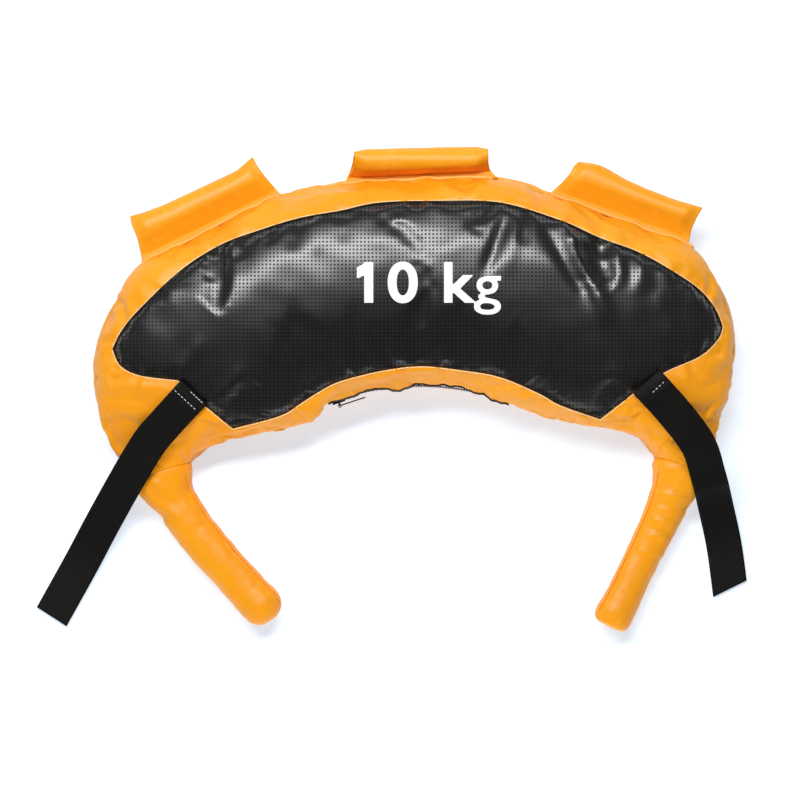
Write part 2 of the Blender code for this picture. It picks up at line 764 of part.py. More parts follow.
def loop_rings(stations):
    """Rings of a loop: out along its lower ply, round the fold and back along its upper ply."""
    half = (WEBBING_PLY + WEBBING_SLIT) / 2
    runs = spread(ANCHOR_LENGTH + GAP, stations[-1][2] - half - WEBBING_PLY / 2, LOOP_STATIONS)
    rings = [webbing_ring(*at_run(stations, run), -half, WEBBING_PLY / 2) for run in runs]
    middle, across, along = at_run(stations, runs[-1])
    up = upwards(across, along)
    width = across * WEBBING_WIDTH / 2
    for angle in spread(-math.pi / 2, math.pi / 2, FOLD_STEPS)[1:-1]:
        spoke = along * math.cos(angle) + up * math.sin(angle)
        centre = middle + spoke * half
        outward = spoke * WEBBING_PLY / 2
        rings.append([
            centre - width + outward, centre + width + outward,
            centre + width - outward, centre - width - outward,
        ])
    for run in reversed(runs):
        ring = webbing_ring(*at_run(stations, run), half, WEBBING_PLY / 2)
        rings.append([ring[3], ring[2], ring[1], ring[0]])
    return rings


def handle_matrix(side):
    """Frame on the seam at a handle's middle: X along the seam, Y outwards."""
    place = HANDLE_PLACES[side]
    start = surface_point(place - HANDLE_HEADING_PLACES, 0)
    end = surface_point(place + HANDLE_HEADING_PLACES, 0)
    along = (end - start).normalized()
    outwards = Vector((-along.y, along.x, 0))
    basis = Matrix((along, outwards, Vector((0, 0, 1)))).transposed().to_4x4()
    return Matrix.Translation(surface_point(place, 0)) @ basis


def grip_half_length(share):
    """Half the handle's length, wide at its seam and drawn in towards the roll."""
    return (HANDLE_GRIP + (HANDLE_BASE - HANDLE_GRIP) * (1 - share) ** 3) / 2


def drop_outline():
    """The handle's section: two plies from the hinge line that wrap round the roll."""
    roll_middle = HANDLE_REACH - HANDLE_HINGE_OFFSET - HANDLE_ROLL_RADIUS
    lean = math.asin((HANDLE_ROLL_RADIUS - HINGE_EDGE / 2) / roll_middle)
    outline = [(GAP, -HINGE_EDGE / 2)]
    for angle in spread(-math.pi / 2 - lean, math.pi / 2 + lean, 12):
        y = roll_middle + HANDLE_ROLL_RADIUS * math.cos(angle)
        outline.append((y, HANDLE_ROLL_RADIUS * math.sin(angle)))
    outline.append((GAP, HINGE_EDGE / 2))
    return outline, roll_middle


def make_handles(parts, cutters, orange, foam):
    """Per handle: a flange in the seam, then the sleeve that turns on it round a foam core."""
    outline, roll_middle = drop_outline()
    for side in HANDLE_PLACES:
        frame = handle_matrix(side)
        make_flange(side, frame, parts, orange)
        hinge = frame @ Matrix.Translation((0, HANDLE_HINGE_OFFSET, 0))
        hinge = hinge @ Matrix.Rotation(HANDLE_TILTS[side], 4, "X")
        empty = add_empty(f"handle_{side}_hinge", parts, hinge)
        rings = []
        for across in spread(-1, 1, 8):
            ring = []
            for y, z in outline:
                half = grip_half_length(y / (HANDLE_REACH - HANDLE_HINGE_OFFSET))
                ring.append(hinge @ Vector((across * half, y, z)))
            rings.append(ring)
        sleeve = add_tube(f"handle_{side}_sleeve", rings, parts, orange, parent=empty)
        bore = rod(
            f"handle_{side}_bore_cutter", HANDLE_ROLL_RADIUS - HANDLE_WALL, HANDLE_BASE,
            hinge, roll_middle, cutters,
        )
        cut(sleeve, hide_cutter(bore))
        core_radius = HANDLE_ROLL_RADIUS - HANDLE_WALL - GAP
        core_length = HANDLE_GRIP - HANDLE_ROLL_RADIUS
        core = rod(
            f"handle_{side}_core", core_radius, core_length, hinge, roll_middle, parts, foam
        )
        core.parent = empty
        core.matrix_parent_inverse = hinge.inverted()


def rod(name, radius, length, frame, offset, collection, material=None):
    """A straight rod along the frame's X, at an offset along its Y."""
    form = bmesh.new()
    bmesh.ops.create_cone(
        form, cap_ends=True, segments=16, radius1=radius, radius2=radius, depth=length
    )
    made = add_object(name, mesh_from(form, name), collection, material)
    lay = Matrix.Rotation(math.pi / 2, 4, "Y")
    made.matrix_world = frame @ Matrix.Translation((0, offset, 0)) @ lay
    return made


def make_flange(side, frame, parts, orange):
    """The flat strip between the curved seam and a handle's straight hinge line."""
    inverse = frame.inverted()
    seam_line = []
    middle = HANDLE_PLACES[side]
    for place in spread(middle - FLANGE_PLACES, middle + FLANGE_PLACES, 16):
        spot = inverse @ surface_point(place, 0)
        if abs(spot.x) < HANDLE_BASE / 2:
            seam_line.append((spot.x, spot.y + 2 * GAP))
    hinge_line = HANDLE_HINGE_OFFSET - GAP
    wide = HANDLE_BASE / 2
    outline = [(-wide, hinge_line), (wide, hinge_line)] + seam_line[::-1]
    half = FLANGE_THICKNESS / 2
    flange = prism(f"handle_{side}_flange", outline, -half, half, parts, orange)
    flange.matrix_world = frame


def make_zip(parts, cutters, tape_cloth, chain_black):
    """Tape in a slot of the seam, chain, end stops, slider and its pull."""
    heights = (SEAM_HEIGHT - ZIP_TAPE_HEIGHT / 2, SEAM_HEIGHT + ZIP_TAPE_HEIGHT / 2)
    angles = spread(ZIP_HALF_ANGLE, -ZIP_HALF_ANGLE, 24)
    slot_end = ZIP_HALF_ANGLE + GAP / ARCH_RADIUS
    slot_heights = (heights[0] - GAP, heights[1] + GAP)
    slot_radii = (ARCH_RADIUS - CUT_OVERRUN, ARCH_RADIUS + SKIN + FILL_GAP)
    slot_angles = spread(slot_end, -slot_end, 24)
    slot = arc_bar("zip_slot_cutter", slot_angles, slot_radii, slot_heights, cutters)
    hide_cutter(slot)
    for name in ("front_band", "inner_side_strip"):
        cut(bpy.data.objects[name], slot)
    tape_radii = (ARCH_RADIUS + GAP, ARCH_RADIUS + GAP + ZIP_TAPE_THICKNESS)
    arc_bar("zip_tape", angles, tape_radii, heights, parts, tape_cloth)

    stop_angle = STOP_LENGTH / ARCH_RADIUS
    margin = 2 * GAP / ARCH_RADIUS
    chain_end = ZIP_HALF_ANGLE - stop_angle - margin
    chain_radii = (ARCH_RADIUS - CHAIN_THICKNESS, ARCH_RADIUS)
    chain_heights = (SEAM_HEIGHT - CHAIN_HEIGHT / 2, SEAM_HEIGHT + CHAIN_HEIGHT / 2)
    chain_angles = spread(chain_end, -chain_end, 24)
    arc_bar("zip_chain", chain_angles, chain_radii, chain_heights, parts, chain_black)
    for name, direction in (("left", 1), ("right", -1)):
        ends = (chain_end + margin, ZIP_HALF_ANGLE)
        stop_angles = spread(direction * ends[0], direction * ends[1], 2)
        if direction > 0:
            stop_angles = stop_angles[::-1]
        stop_radii = (ARCH_RADIUS - CHAIN_THICKNESS - 2 * GAP, ARCH_RADIUS)
        stop_heights = (chain_heights[0] - GAP, chain_heights[1] + GAP)
        arc_bar(f"zip_stop_{name}", stop_angles, stop_radii, stop_heights, parts, chain_black)
    make_slider(parts, cutters, chain_black)


def slider_rest_angle():
    """Angle of the slider's middle at rest, closed against the left stop."""
    stop_angle = (STOP_LENGTH + 3 * GAP) / ARCH_RADIUS
    return ZIP_HALF_ANGLE - stop_angle - SLIDER_LENGTH / 2 / ARCH_RADIUS


def make_slider(parts, cutters, metal):
    place = Matrix.Translation((ARCH_CENTRE_X, ARCH_CENTRE_Y, SEAM_HEIGHT))
    centre = add_empty("zip_slider_pivot", parts, place)
    rest = slider_rest_angle()
    half_angle = SLIDER_LENGTH / 2 / ARCH_RADIUS
    angles = spread(rest + half_angle, rest - half_angle, 4)
    face = ARCH_RADIUS - CHAIN_THICKNESS - GAP - SLIDER_FACE
    radii = (face, ARCH_RADIUS - GAP)
    heights = (SEAM_HEIGHT - SLIDER_HEIGHT / 2, SEAM_HEIGHT + SLIDER_HEIGHT / 2)
    slider = arc_bar("zip_slider", angles, radii, heights, parts, metal, parent=centre)
    groove_angles = spread(rest + 3 * half_angle, rest - 3 * half_angle, 12)
    groove_radii = (ARCH_RADIUS - CHAIN_THICKNESS - GAP, ARCH_RADIUS + CUT_OVERRUN)
    groove_heights = (
        SEAM_HEIGHT - CHAIN_HEIGHT / 2 - GAP, SEAM_HEIGHT + CHAIN_HEIGHT / 2 + GAP
    )
    groove = arc_bar("zip_groove_cutter", groove_angles, groove_radii, groove_heights, cutters)
    cut(slider, hide_cutter(groove))

    bar_radius = face - BRIDGE_REACH
    bridge = add_object("zip_bridge_joiner", bridge_mesh(rest, face, bar_radius), cutters)
    cut(slider, hide_cutter(bridge), "UNION")
    make_pull(arc_point(rest, bar_radius, SEAM_HEIGHT), parts, cutters, metal, centre)


def bridge_mesh(rest, face, bar_radius):
    """The slider's bridge: a staple whose bar the pull turns on."""
    tall = PULL_WIDTH / 2 + GAP
    foot = face + SLIDER_FACE / 2
    curve_points = [
        arc_point(rest, foot, SEAM_HEIGHT - tall - BRIDGE_POST / 2),
        arc_point(rest, bar_radius, SEAM_HEIGHT - tall - BRIDGE_POST / 2),
        arc_point(rest, bar_radius, SEAM_HEIGHT + tall + BRIDGE_POST / 2),
        arc_point(rest, foot, SEAM_HEIGHT + tall + BRIDGE_POST / 2),
    ]
    outward = (arc_point(rest, 1, 0) - arc_point(rest, 0, 0)).normalized()
    along = Vector((-outward.y, outward.x, 0))
    up = Vector((0, 0, 1))
    leans = (-up, -up - outward, up - outward, up)
    rings = []
    for point, lean in zip(curve_points, leans):
        mitre = lean.length
        ring = []
        for corner in range(8):
            angle = (corner + 0.5) * math.pi / 4
            arm = along * math.cos(angle) + lean.normalized() * math.sin(angle) * mitre
            ring.append(point + arm * BRIDGE_RADIUS)
        rings.append(ring)
    return mesh_from(tube_form(rings, True), "zip_bridge")


def make_pull(bar_place, parts, cutters, metal, slider_pivot):
    """The pull: an eye round the bridge's bar and a flat tab that lies along the chain."""
    hinge = add_empty("zip_pull_hinge", parts, Matrix.Translation(bar_place))
    hinge.parent = slider_pivot
    hinge.matrix_parent_inverse = slider_pivot.matrix_world.inverted()
    bpy.context.view_layer.update()
    turn = Matrix.Rotation(slider_rest_angle(), 4, "Z")
    hole = BRIDGE_RADIUS + GAP
    form = bmesh.new()
    for radius in (hole + EYE_WALL, hole):
        bmesh.ops.create_circle(form, segments=16, radius=radius)
    bmesh.ops.bridge_loops(form, edges=form.edges)
    raised = bmesh.ops.extrude_face_region(form, geom=list(form.faces))["geom"]
    lifted = [item for item in raised if isinstance(item, bmesh.types.BMVert)]
    bmesh.ops.translate(form, vec=(0, 0, PULL_WIDTH), verts=lifted)
    bmesh.ops.translate(form, vec=(0, 0, -PULL_WIDTH / 2), verts=form.verts)
    bmesh.ops.recalc_face_normals(form, faces=form.faces)
    bmesh.ops.transform(form, matrix=turn, verts=form.verts)
    pull = add_object("zip_pull", mesh_from(form, "zip_pull"), parts, metal)
    pull.parent = hinge

    tab = bmesh.new()
    bmesh.ops.create_cube(tab, size=1)
    start = hole + EYE_WALL / 2
    length = PULL_LENGTH - start
    bmesh.ops.scale(tab, vec=(length, PULL_THICKNESS, PULL_WIDTH), verts=tab.verts)
    bmesh.ops.translate(tab, vec=(start + length / 2, 0, 0), verts=tab.verts)
    bmesh.ops.transform(tab, matrix=Matrix.Translation(bar_place) @ turn, verts=tab.verts)
    joined = add_object("zip_tab_joiner", mesh_from(tab, "zip_tab_joiner"), cutters)
    cut(pull, hide_cutter(joined), "UNION")


def main():
    clear_scene()
    parts = new_collection("sandbag_trainer")
    cutters = new_collection("cutters")
    cutters.hide_render = True
    orange = finish("orange coated cloth", ORANGE, 0.42)
    black = finish("black coated cloth", BLACK, 0.38)
    webbing = finish("black webbing", WEBBING_BLACK, 0.8)
    chain_black = finish("black zip", CHAIN_BLACK, 0.45)
    sand = finish("sand bag film", SAND_BAG, 0.5)
    wadding = finish("wadding", WADDING_WHITE, 0.95)
    foam = finish("handle foam", FOAM_GREY, 0.9)
    make_front(parts, cutters, orange, black)
    make_sides(parts, orange)
    make_back(parts, black)
    make_filling(parts, sand, wadding)
    make_horns(parts, orange, wadding)
    make_zip(parts, cutters, webbing, chain_black)
    bpy.context.view_layer.update()
    make_loops(parts, webbing)
    make_handles(parts, cutters, orange, foam)
    bpy.context.view_layer.update()


main()
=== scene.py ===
"""Sandbag trainer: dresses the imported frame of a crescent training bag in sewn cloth, webbing,
thread, zip and filling, and lays it on a pale floor as the photograph shows it.

Metres, +Z up. The bag lies on its back, +Y points to its top handles and +X to the right.
"""

import math
from functools import lru_cache

import bmesh
import bpy
import numpy as np
from bpy.props import FloatProperty, FloatVectorProperty, PointerProperty
from mathutils import Matrix, Vector, noise
from mathutils.bvhtree import BVHTree


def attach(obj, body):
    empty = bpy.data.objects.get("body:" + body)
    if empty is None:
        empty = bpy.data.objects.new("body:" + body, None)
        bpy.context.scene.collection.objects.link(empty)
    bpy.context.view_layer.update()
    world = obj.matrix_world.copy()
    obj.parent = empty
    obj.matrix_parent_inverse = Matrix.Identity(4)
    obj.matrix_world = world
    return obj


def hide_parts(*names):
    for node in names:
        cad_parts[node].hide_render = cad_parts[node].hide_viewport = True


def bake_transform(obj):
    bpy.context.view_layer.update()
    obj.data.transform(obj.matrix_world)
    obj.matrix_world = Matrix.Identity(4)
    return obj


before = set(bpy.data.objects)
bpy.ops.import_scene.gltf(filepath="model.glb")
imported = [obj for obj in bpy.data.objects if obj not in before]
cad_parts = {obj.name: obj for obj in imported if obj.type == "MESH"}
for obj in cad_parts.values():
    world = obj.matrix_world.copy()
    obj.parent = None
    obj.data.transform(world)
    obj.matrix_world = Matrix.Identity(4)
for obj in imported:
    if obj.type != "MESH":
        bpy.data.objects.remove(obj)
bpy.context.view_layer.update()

bl_info = {
    "name": "Sandbag trainer",
    "version": (1, 0, 0),
    "blender": (4, 5, 0),
    "location": "3D View > Sidebar > Sandbag",
    "description": "Dresses the frame of a crescent sandbag trainer in cloth and webbing",
    "category": "Add Mesh",
}

MM = 0.001

# The bag's form, as its frame has it
BODY_HALF_SPAN = 0.287
BODY_RISE = 0.247
CROWN_HEIGHT = 0.104
SEAM_HEIGHT = 0.046
FLAT_SHARE = 0.76
DOME_POWER = 2.15
BACK_TURN_SHARE = 0.3
SEAM_GAP = 0.0004
GAP = 0.0003
BACK_LIFT = 0.0004
FLOOR_GAP = 0.0005
ARCH_RADIUS = 0.234
ARCH_CENTRE = Vector((0.0018, -0.324))
ZIP_HALF_ANGLE = math.radians(20.7)
ARCH_HOLD_SHARE = 1.03
ARCH_FADE_SHARE = 0.2
ZIP_TAPE_HEIGHT = 0.0104
CHAIN_HEIGHT = 0.005
CHAIN_THICKNESS = 0.002
STOP_LENGTH = 0.003
NECK_LENGTH = 0.036
HORN_ROOT_RADIUS = 0.019
HORN_AXIS_HEIGHT = 0.0201
HORN_HEADINGS = {"left": math.radians(39.4), "right": math.radians(-26)}
WEBBING_WIDTH = 0.032
WEBBING_PLY = 0.0013
WEBBING_SLIT = 0.0003
LOOP_CLEARANCE = 0.0004
ANCHOR_LENGTH = 0.0095
HANDLE_REACH = 0.035
HANDLE_GRIP = 0.121
HANDLE_ROLL_RADIUS = 0.0105
HANDLE_WALL = 0.0015
HANDLE_HINGE_OFFSET = 0.005
HANDLE_PLACES = {"left": 7.36, "centre": 10.0, "right": 12.72}
HANDLE_HEADING_PLACES = 0.8
HANDLE_TILTS = {"left": 0.0, "centre": math.radians(45), "right": 0.0}

# Sections of the body: outer edge x and y, inner edge x and y, crown and seam heights, as shares
SECTION_SHARES = (
    (-0.900, -0.711, -0.709, -0.645, 0.43, 0.50),
    (-0.953, -0.590, -0.668, -0.605, 0.50, 0.58),
    (-0.994, -0.474, -0.593, -0.569, 0.60, 0.70),
    (-1.010, -0.346, -0.499, -0.543, 0.70, 0.82),
    (-0.997, -0.200, -0.417, -0.528, 0.79, 0.91),
    (-0.944, -0.055, -0.348, -0.488, 0.87, 0.98),
    (-0.862, 0.077, -0.285, -0.426, 0.93, 1.00),
    (-0.706, 0.168, -0.238, -0.408, 0.97, 1.00),
    (-0.524, 0.277, -0.179, -0.388, 1.00, 1.00),
    (-0.310, 0.357, -0.091, -0.368, 1.00, 1.00),
    (0.000, 0.383, 0.006, -0.364, 1.00, 1.00),
    (0.251, 0.386, 0.103, -0.370, 1.00, 1.00),
    (0.480, 0.306, 0.198, -0.391, 1.00, 1.00),
    (0.699, 0.211, 0.267, -0.414, 0.97, 1.00),
    (0.856, 0.138, 0.326, -0.446, 0.93, 1.00),
    (0.944, 0.000, 0.417, -0.485, 0.87, 0.98),
    (0.988, -0.157, 0.511, -0.507, 0.79, 0.91),
    (0.985, -0.317, 0.593, -0.521, 0.70, 0.82),
    (0.956, -0.463, 0.668, -0.547, 0.60, 0.70),
    (0.938, -0.572, 0.721, -0.583, 0.50, 0.58),
    (0.919, -0.681, 0.746, -0.627, 0.43, 0.50),
)
LAST_PLACE = len(SECTION_SHARES) - 1

# Outline of the front panel, clockwise from the left tip, as shares of the half span and the rise
PANEL_SHARES = (
    (-0.956, -0.233), (-0.925, -0.164), (-0.869, -0.087), (-0.743, 0.051), (-0.618, 0.145),
    (-0.492, 0.200), (-0.367, 0.244), (-0.241, 0.270), (-0.116, 0.300), (0.072, 0.306),
    (0.260, 0.300), (0.448, 0.236), (0.574, 0.171), (0.699, 0.117), (0.825, 0.033),
    (0.894, -0.026), (0.938, -0.091), (0.960, -0.153), (0.944, -0.200), (0.887, -0.262),
    (0.775, -0.321), (0.674, -0.401), (0.574, -0.492), (0.448, -0.441), (0.386, -0.401),
    (0.260, -0.339), (0.135, -0.313), (0.009, -0.299), (-0.116, -0.317), (-0.241, -0.354),
    (-0.304, -0.390), (-0.367, -0.437), (-0.430, -0.480), (-0.577, -0.526), (-0.659, -0.448),
    (-0.749, -0.350), (-0.869, -0.332), (-0.931, -0.295),
)
PANEL_CORNERS = (0, 17, 21, 22, 33, 35)

# Routes of the webbing loops: x and y as shares, then the height as a share of the root's
LOOP_SHARES = {
    "left": (
        (-0.704, -0.399, 1.00), (-0.792, -0.510, 0.88), (-0.844, -0.583, 0.76),
        (-0.920, -0.729, 0.52), (-0.991, -0.875, 0.20), (-1.058, -1.020, 0.03),
        (-1.149, -1.210, 0.00),
    ),
    "right": (
        (0.724, -0.361, 1.00), (0.812, -0.474, 0.90), (0.881, -0.583, 0.78),
        (0.913, -0.692, 0.50), (0.938, -0.802, 0.19), (0.966, -0.948, 0.03),
        (0.985, -1.108, 0.00),
    ),
}
LOOP_STATIONS = 30
LOOP_TILT = 0.35
LOOP_SMOOTHING = 6
WEBBING_ROWS = 16
WEBBING_STEP = 0.0016
ACROSS_SHARES = (-0.52, -0.48, -0.35, -0.2, 0.0, 0.2, 0.35, 0.48, 0.52)
BETWEEN_SHARES = (0.0, 0.25, 0.5, 0.75)

# Folds of the front: start x, y and end x, y, half width and height, in millimetres
FOLDS = (
    (131, 56, 168, -26, 8, 4.6), (113, 56, 154, -14, 7.5, -3.2), (160, 44, 173, 8, 6, -2.8),
    (80, 60, 62, 14, 5, -3.0), (90, 50, 80, 14, 7, 1.4), (-109, 62, -111, 34, 7, -2.0),
    (-177, 36, -172, 12, 9, -0.6), (-65, 66, -66, 40, 7, -1.4), (-29, 70, -31, 48, 8, -0.8),
    (98, 60, 94, 38, 5, -1.8), (-92, 56, -90, 30, 6, 1.0), (178, 38, 182, 4, 6, 1.1),
    (190, 34, 191, 0, 6, -1.3), (200, 30, 198, -4, 6, 1.2), (212, 20, 214, -6, 6, -1.0),
    (281, -84, 277, -112, 12, 3.0), (214, -14, 230, -46, 7, 1.6), (241, 4, 250, -19, 6, 1.3),
    (-213, -78, -194, -52, 6, 1.6), (-179, -103, -158, -77, 6, 1.6), (194, -96, 174, -76, 7, 1.7),
    (-266, -58, -262, -44, 3, 1.6), (-247, -26, -238, -10, 6, 1.0), (-30, 60, -34, 34, 9, 0.8),
    (18, 62, 20, 36, 10, -0.8), (-150, 45, -158, 14, 8, -1.0), (-276, -90, -238, -91, 4, 2.0),
    (-278, -100, -244, -104, 4, -1.8), (262, -68, 284, -66, 4, 2.0), (256, -92, 282, -82, 4, -1.8),
    (-236, -132, -212, -118, 5, 1.5), (-228, -146, -206, -140, 4, -1.3),
    (212, -142, 240, -150, 5, 1.6), (206, -132, 226, -136, 4, -1.2),
    (-196, -140, -186, -124, 5, 1.2),
)

# Folds of the horn grips near their roots, as above
HORN_FOLDS = (
    (-249, -170, -222, -186, 3.2, 1.5), (-244, -184, -216, -198, 3.2, -1.2),
    (-238, -196, -214, -208, 3.0, 1.3), (-226, -158, -206, -170, 3.5, 1.4),
    (-212, -166, -204, -196, 3.5, -1.0), (-230, -214, -206, -222, 3.2, 0.9),
    (219, -187, 244, -193, 2.6, 1.5), (217, -196, 242, -203, 2.6, -1.2),
    (212, -211, 232, -215, 2.4, 1.2), (208, -219, 228, -223, 2.4, -0.9),
    (206, -225, 226, -229, 2.2, 0.9), (200, -239, 222, -244, 2.6, 0.7),
    (210, -160, 244, -166, 3.6, 1.3), (216, -150, 246, -154, 3.6, -1.2),
)

# How far the orange edge stands over the zip: angle from the arch's crown, then millimetres
ARCH_WAVES = (
    (-32, 0.0), (-26, 1.5), (-22, 3.0), (-19.5, 4.5), (-17, 5.5), (-14.8, 3.4), (-12, 1.2),
    (-8.2, -1.6), (-4, 1.0), (-0.2, -2.4), (2, 1.6), (4.2, 6.2), (5.6, 4.6), (7.5, 0.8),
    (11.5, -0.8), (14.9, 2.0), (18.0, 2.4), (19.6, 0.4), (21.2, 1.5), (23.2, 8.0), (25, 7.0),
    (27.5, 3.5), (32, 0.0),
)

# Horn grips: run from the root, sideways shift and half width, in millimetres
HORN_SHAPES = {
    "left": ((0, 0, 19.2), (13, -2.2, 19.4), (27, -3.4, 18.7), (50, -3.3, 18.7), (75, -1.9, 18.3),
             (100, -0.9, 18.3), (115, 0.0, 19.2), (132, 0.0, 19.2)),
    "right": ((0, 0.6, 19.0), (12, 1.2, 17.9), (25, 1.4, 17.0), (50, 1.3, 16.0), (70, 1.2, 16.0),
              (92, 1.4, 16.2), (110, 1.2, 17.2), (126, 1.2, 17.2)),
}
HORN_ENDS = {"left": (132.5, 2.4), "right": (124.5, 4.5)}

# Edges of the handles in the hinge's frame, in millimetres. Ends: out, along. Rims: along, out
HANDLE_EDGES = {
    "left": {
        "start": ((-11, -70.5), (-6, -69.8), (4, -66.8), (16, -64.2), (30, -63.4), (38, -61)),
        "end": ((-11, 72.5), (-4.5, 69.2), (6, 66.0), (18, 63.1), (28, 61.6), (36, 61.2)),
        "rim": ((-64, 37.5), (-50, 35.0), (-30, 33.0), (0, 32.4), (30, 32.0), (44, 32.0),
                (53, 34.5), (61, 36.5)),
    },
    "centre": {
        "start": ((-11, -70), (-5, -65.5), (4, -60.5), (14, -57.2), (24, -55.6), (36, -55)),
        "end": ((-11, 76), (-4.5, 70.5), (1, 66.0), (10, 64.6), (22, 65.2), (36, 65.5)),
        "rim": ((-56, 31.0), (-40, 30.2), (0, 28.6), (40, 26.6), (66, 25.6)),
    },
    "right": {
        "start": ((-11, -74), (-1.8, -67.8), (7, -62.9), (17.7, -58.6), (26.2, -57.2),
                  (31.3, -54.5), (34, -50), (36, -44)),
        "end": ((-11, 66), (-5, 63.6), (9.7, 61.6), (20.2, 62.6), (30, 64.6), (36, 65)),
        "rim": ((-62, 31.3), (-56, 33.6), (-49, 35.0), (-38, 34.2), (-14, 30.8), (5, 29.4),
                (35, 28.8), (64, 30.5)),
    },
}


def size_property(name, description, default):
    return FloatProperty(name=name, description=description, default=default, unit="LENGTH")


def colour_property(name, description, default):
    return FloatVectorProperty(
        name=name, description=description, default=default, subtype="COLOR"
    )


class BagSizes(bpy.types.PropertyGroup):
    """Sizes that a user would change."""
    cloth: size_property("Cloth", "Thickness of the coated cloth", 0.0012)
    wrinkles: FloatProperty(
        name="Wrinkles", description="How strongly the folds stand out", default=1.0,
        subtype="FACTOR",
    )
    lumps: size_property("Lumps", "Height of the soft lumps that the sand makes", 0.0014)
    puckers: size_property("Puckers", "Height of the puckers along the seams", 0.0011)
    seam_dip: size_property("Seam dip", "How far a seam pulls the cloth in", 0.0012)
    swell: size_property("Swell", "The furthest that the filling may push the cloth", 0.0026)
    pip_pitch: size_property("Pip pitch", "Distance between the front panel's pips", 0.0034)
    rib_pitch: size_property("Rib pitch", "Distance between the webbing's woven ribs", 0.0014)
    tooth_pitch: size_property("Tooth pitch", "Distance between the zip's teeth", 0.0024)
    stitch: size_property("Stitch", "Length of one stitch", 0.0030)
    mark_width: size_property("Mark width", "Width of the weight mark", 0.130)


class BagColours(bpy.types.PropertyGroup):
    """Colours that a user would change."""
    orange: colour_property("Orange cloth", "Colour of the orange cloth", (0.90, 0.345, 0.005))
    black: colour_property("Black cloth", "Colour of the black cloth", (0.004, 0.0036, 0.0032))
    webbing: colour_property("Webbing", "Colour of the webbing", (0.0032, 0.003, 0.0027))
    thread: colour_property("Thread", "Colour of the stitching", (0.80, 0.79, 0.76))
    mark: colour_property("Mark", "Colour of the weight mark", (0.90, 0.89, 0.87))
    film: colour_property("Sack film", "Colour of the sand sacks", (0.62, 0.52, 0.36))
    wadding: colour_property("Wadding", "Colour of the wadding", (0.82, 0.80, 0.76))
    foam: colour_property("Foam", "Colour of the handles' foam", (0.10, 0.10, 0.11))
    floor: colour_property("Floor", "Colour of the floor", (0.58, 0.65, 0.72))


def sizes():
    return bpy.context.scene.bag_sizes


def colours():
    return bpy.context.scene.bag_colours


# Forms


def spread(start, end, steps):
    return [start + (end - start) * step / steps for step in range(steps + 1)]


def smooth_row(rows, place):
    """The row of numbers at a place between two rows, on a smooth curve through them all."""
    last = len(rows) - 1
    first = min(max(int(place), 0), last - 1)
    share = place - first
    before, start, end, after = (rows[min(max(first + step, 0), last)] for step in (-1, 0, 1, 2))
    found = []
    for a, b, c, d in zip(before, start, end, after):
        curve = (2 * a - 5 * b + 4 * c - d) * share + (3 * b - a - 3 * c + d) * share**2
        found.append(b + 0.5 * share * ((c - a) + curve))
    return found


def along_table(rows, value):
    """The other columns of a table at a value of its first column."""
    columns = list(zip(*rows))
    found = [float(np.interp(value, columns[0], column)) for column in columns[1:]]
    return found[0] if len(found) == 1 else found


def smooth_step(value):
    value = np.clip(value, 0.0, 1.0)
    return value * value * (3 - 2 * value)


def on_arch(x, y):
    """The inner edge drawn onto the zip's arc, all along the zip and fading past its ends."""
    spoke = Vector((x, y)) - ARCH_CENTRE
    past = abs(math.atan2(spoke.x, spoke.y)) / ZIP_HALF_ANGLE - ARCH_HOLD_SHARE
    hold = 1 - min(max(past / ARCH_FADE_SHARE, 0), 1)
    return Vector((x, y)).lerp(ARCH_CENTRE + spoke.normalized() * ARCH_RADIUS, hold)


@lru_cache(maxsize=None)
def section(place):
    """Middle, direction across, half width, crown height and seam height of the body at a place."""
    outer_x, outer_y, inner_x, inner_y, crown, seam = smooth_row(SECTION_SHARES, place)
    outer = Vector((outer_x * BODY_HALF_SPAN, outer_y * BODY_RISE))
    inner = on_arch(inner_x * BODY_HALF_SPAN, inner_y * BODY_RISE)
    across = outer - inner
    middle = (outer + inner) / 2
    return middle, across.normalized(), across.length / 2, crown * CROWN_HEIGHT, seam * SEAM_HEIGHT


def powered(values, exponent):
    return np.copysign(np.abs(values) ** exponent, values)


def profile(turns, half_width, crown, seam):
    """Across and up on a section's outline. Turn 0 is the outer seam, 1 the crown, 2 the inner
    seam and 3 the middle of the flat back."""
    turns = np.mod(np.asarray(turns, float), 4)
    angle = turns * math.pi / 2
    dome_across = half_width * powered(np.cos(angle), 2 / DOME_POWER)
    dome_up = seam + (crown - seam) * powered(np.sin(angle), 2 / DOME_POWER)
    side = np.where(turns > 3, 1.0, -1.0)
    from_middle = np.abs(turns - 3)
    flat = half_width * FLAT_SHARE
    lift = np.clip((from_middle - BACK_TURN_SHARE) / (1 - BACK_TURN_SHARE), 0, 1) * math.pi / 2
    on_flat = from_middle < BACK_TURN_SHARE
    low_across = np.where(
        on_flat, flat * from_middle / BACK_TURN_SHARE, flat + (half_width - flat) * np.sin(lift)
    )
    low_up = np.where(on_flat, 0.0, seam * (1 - np.cos(lift)))
    dome = turns <= 2
    return np.where(dome, dome_across, side * low_across), np.where(dome, dome_up, low_up)


def body_points(places, turns):
    """Points of the bare body: one column for each place, one row for each turn."""
    points = np.empty((len(places), turns.shape[1], 3))
    for column, place in enumerate(places):
        middle, across, half_width, crown, seam = section(place)
        along, up = profile(turns[column], half_width, crown, seam)
        points[column, :, 0] = middle.x + across.x * along
        points[column, :, 1] = middle.y + across.y * along
        points[column, :, 2] = up
    return points


def outwards_of(points):
    """Outward directions of a grid of points whose columns run along the body."""
    ahead = np.gradient(points, axis=0)
    around = np.gradient(points, axis=1)
    outwards = np.cross(around, ahead)
    return outwards / np.maximum(np.linalg.norm(outwards, axis=2, keepdims=True), 1e-12)


def surface_point(place, turn):
    return Vector(body_points([place], np.array([[turn]]))[0, 0])


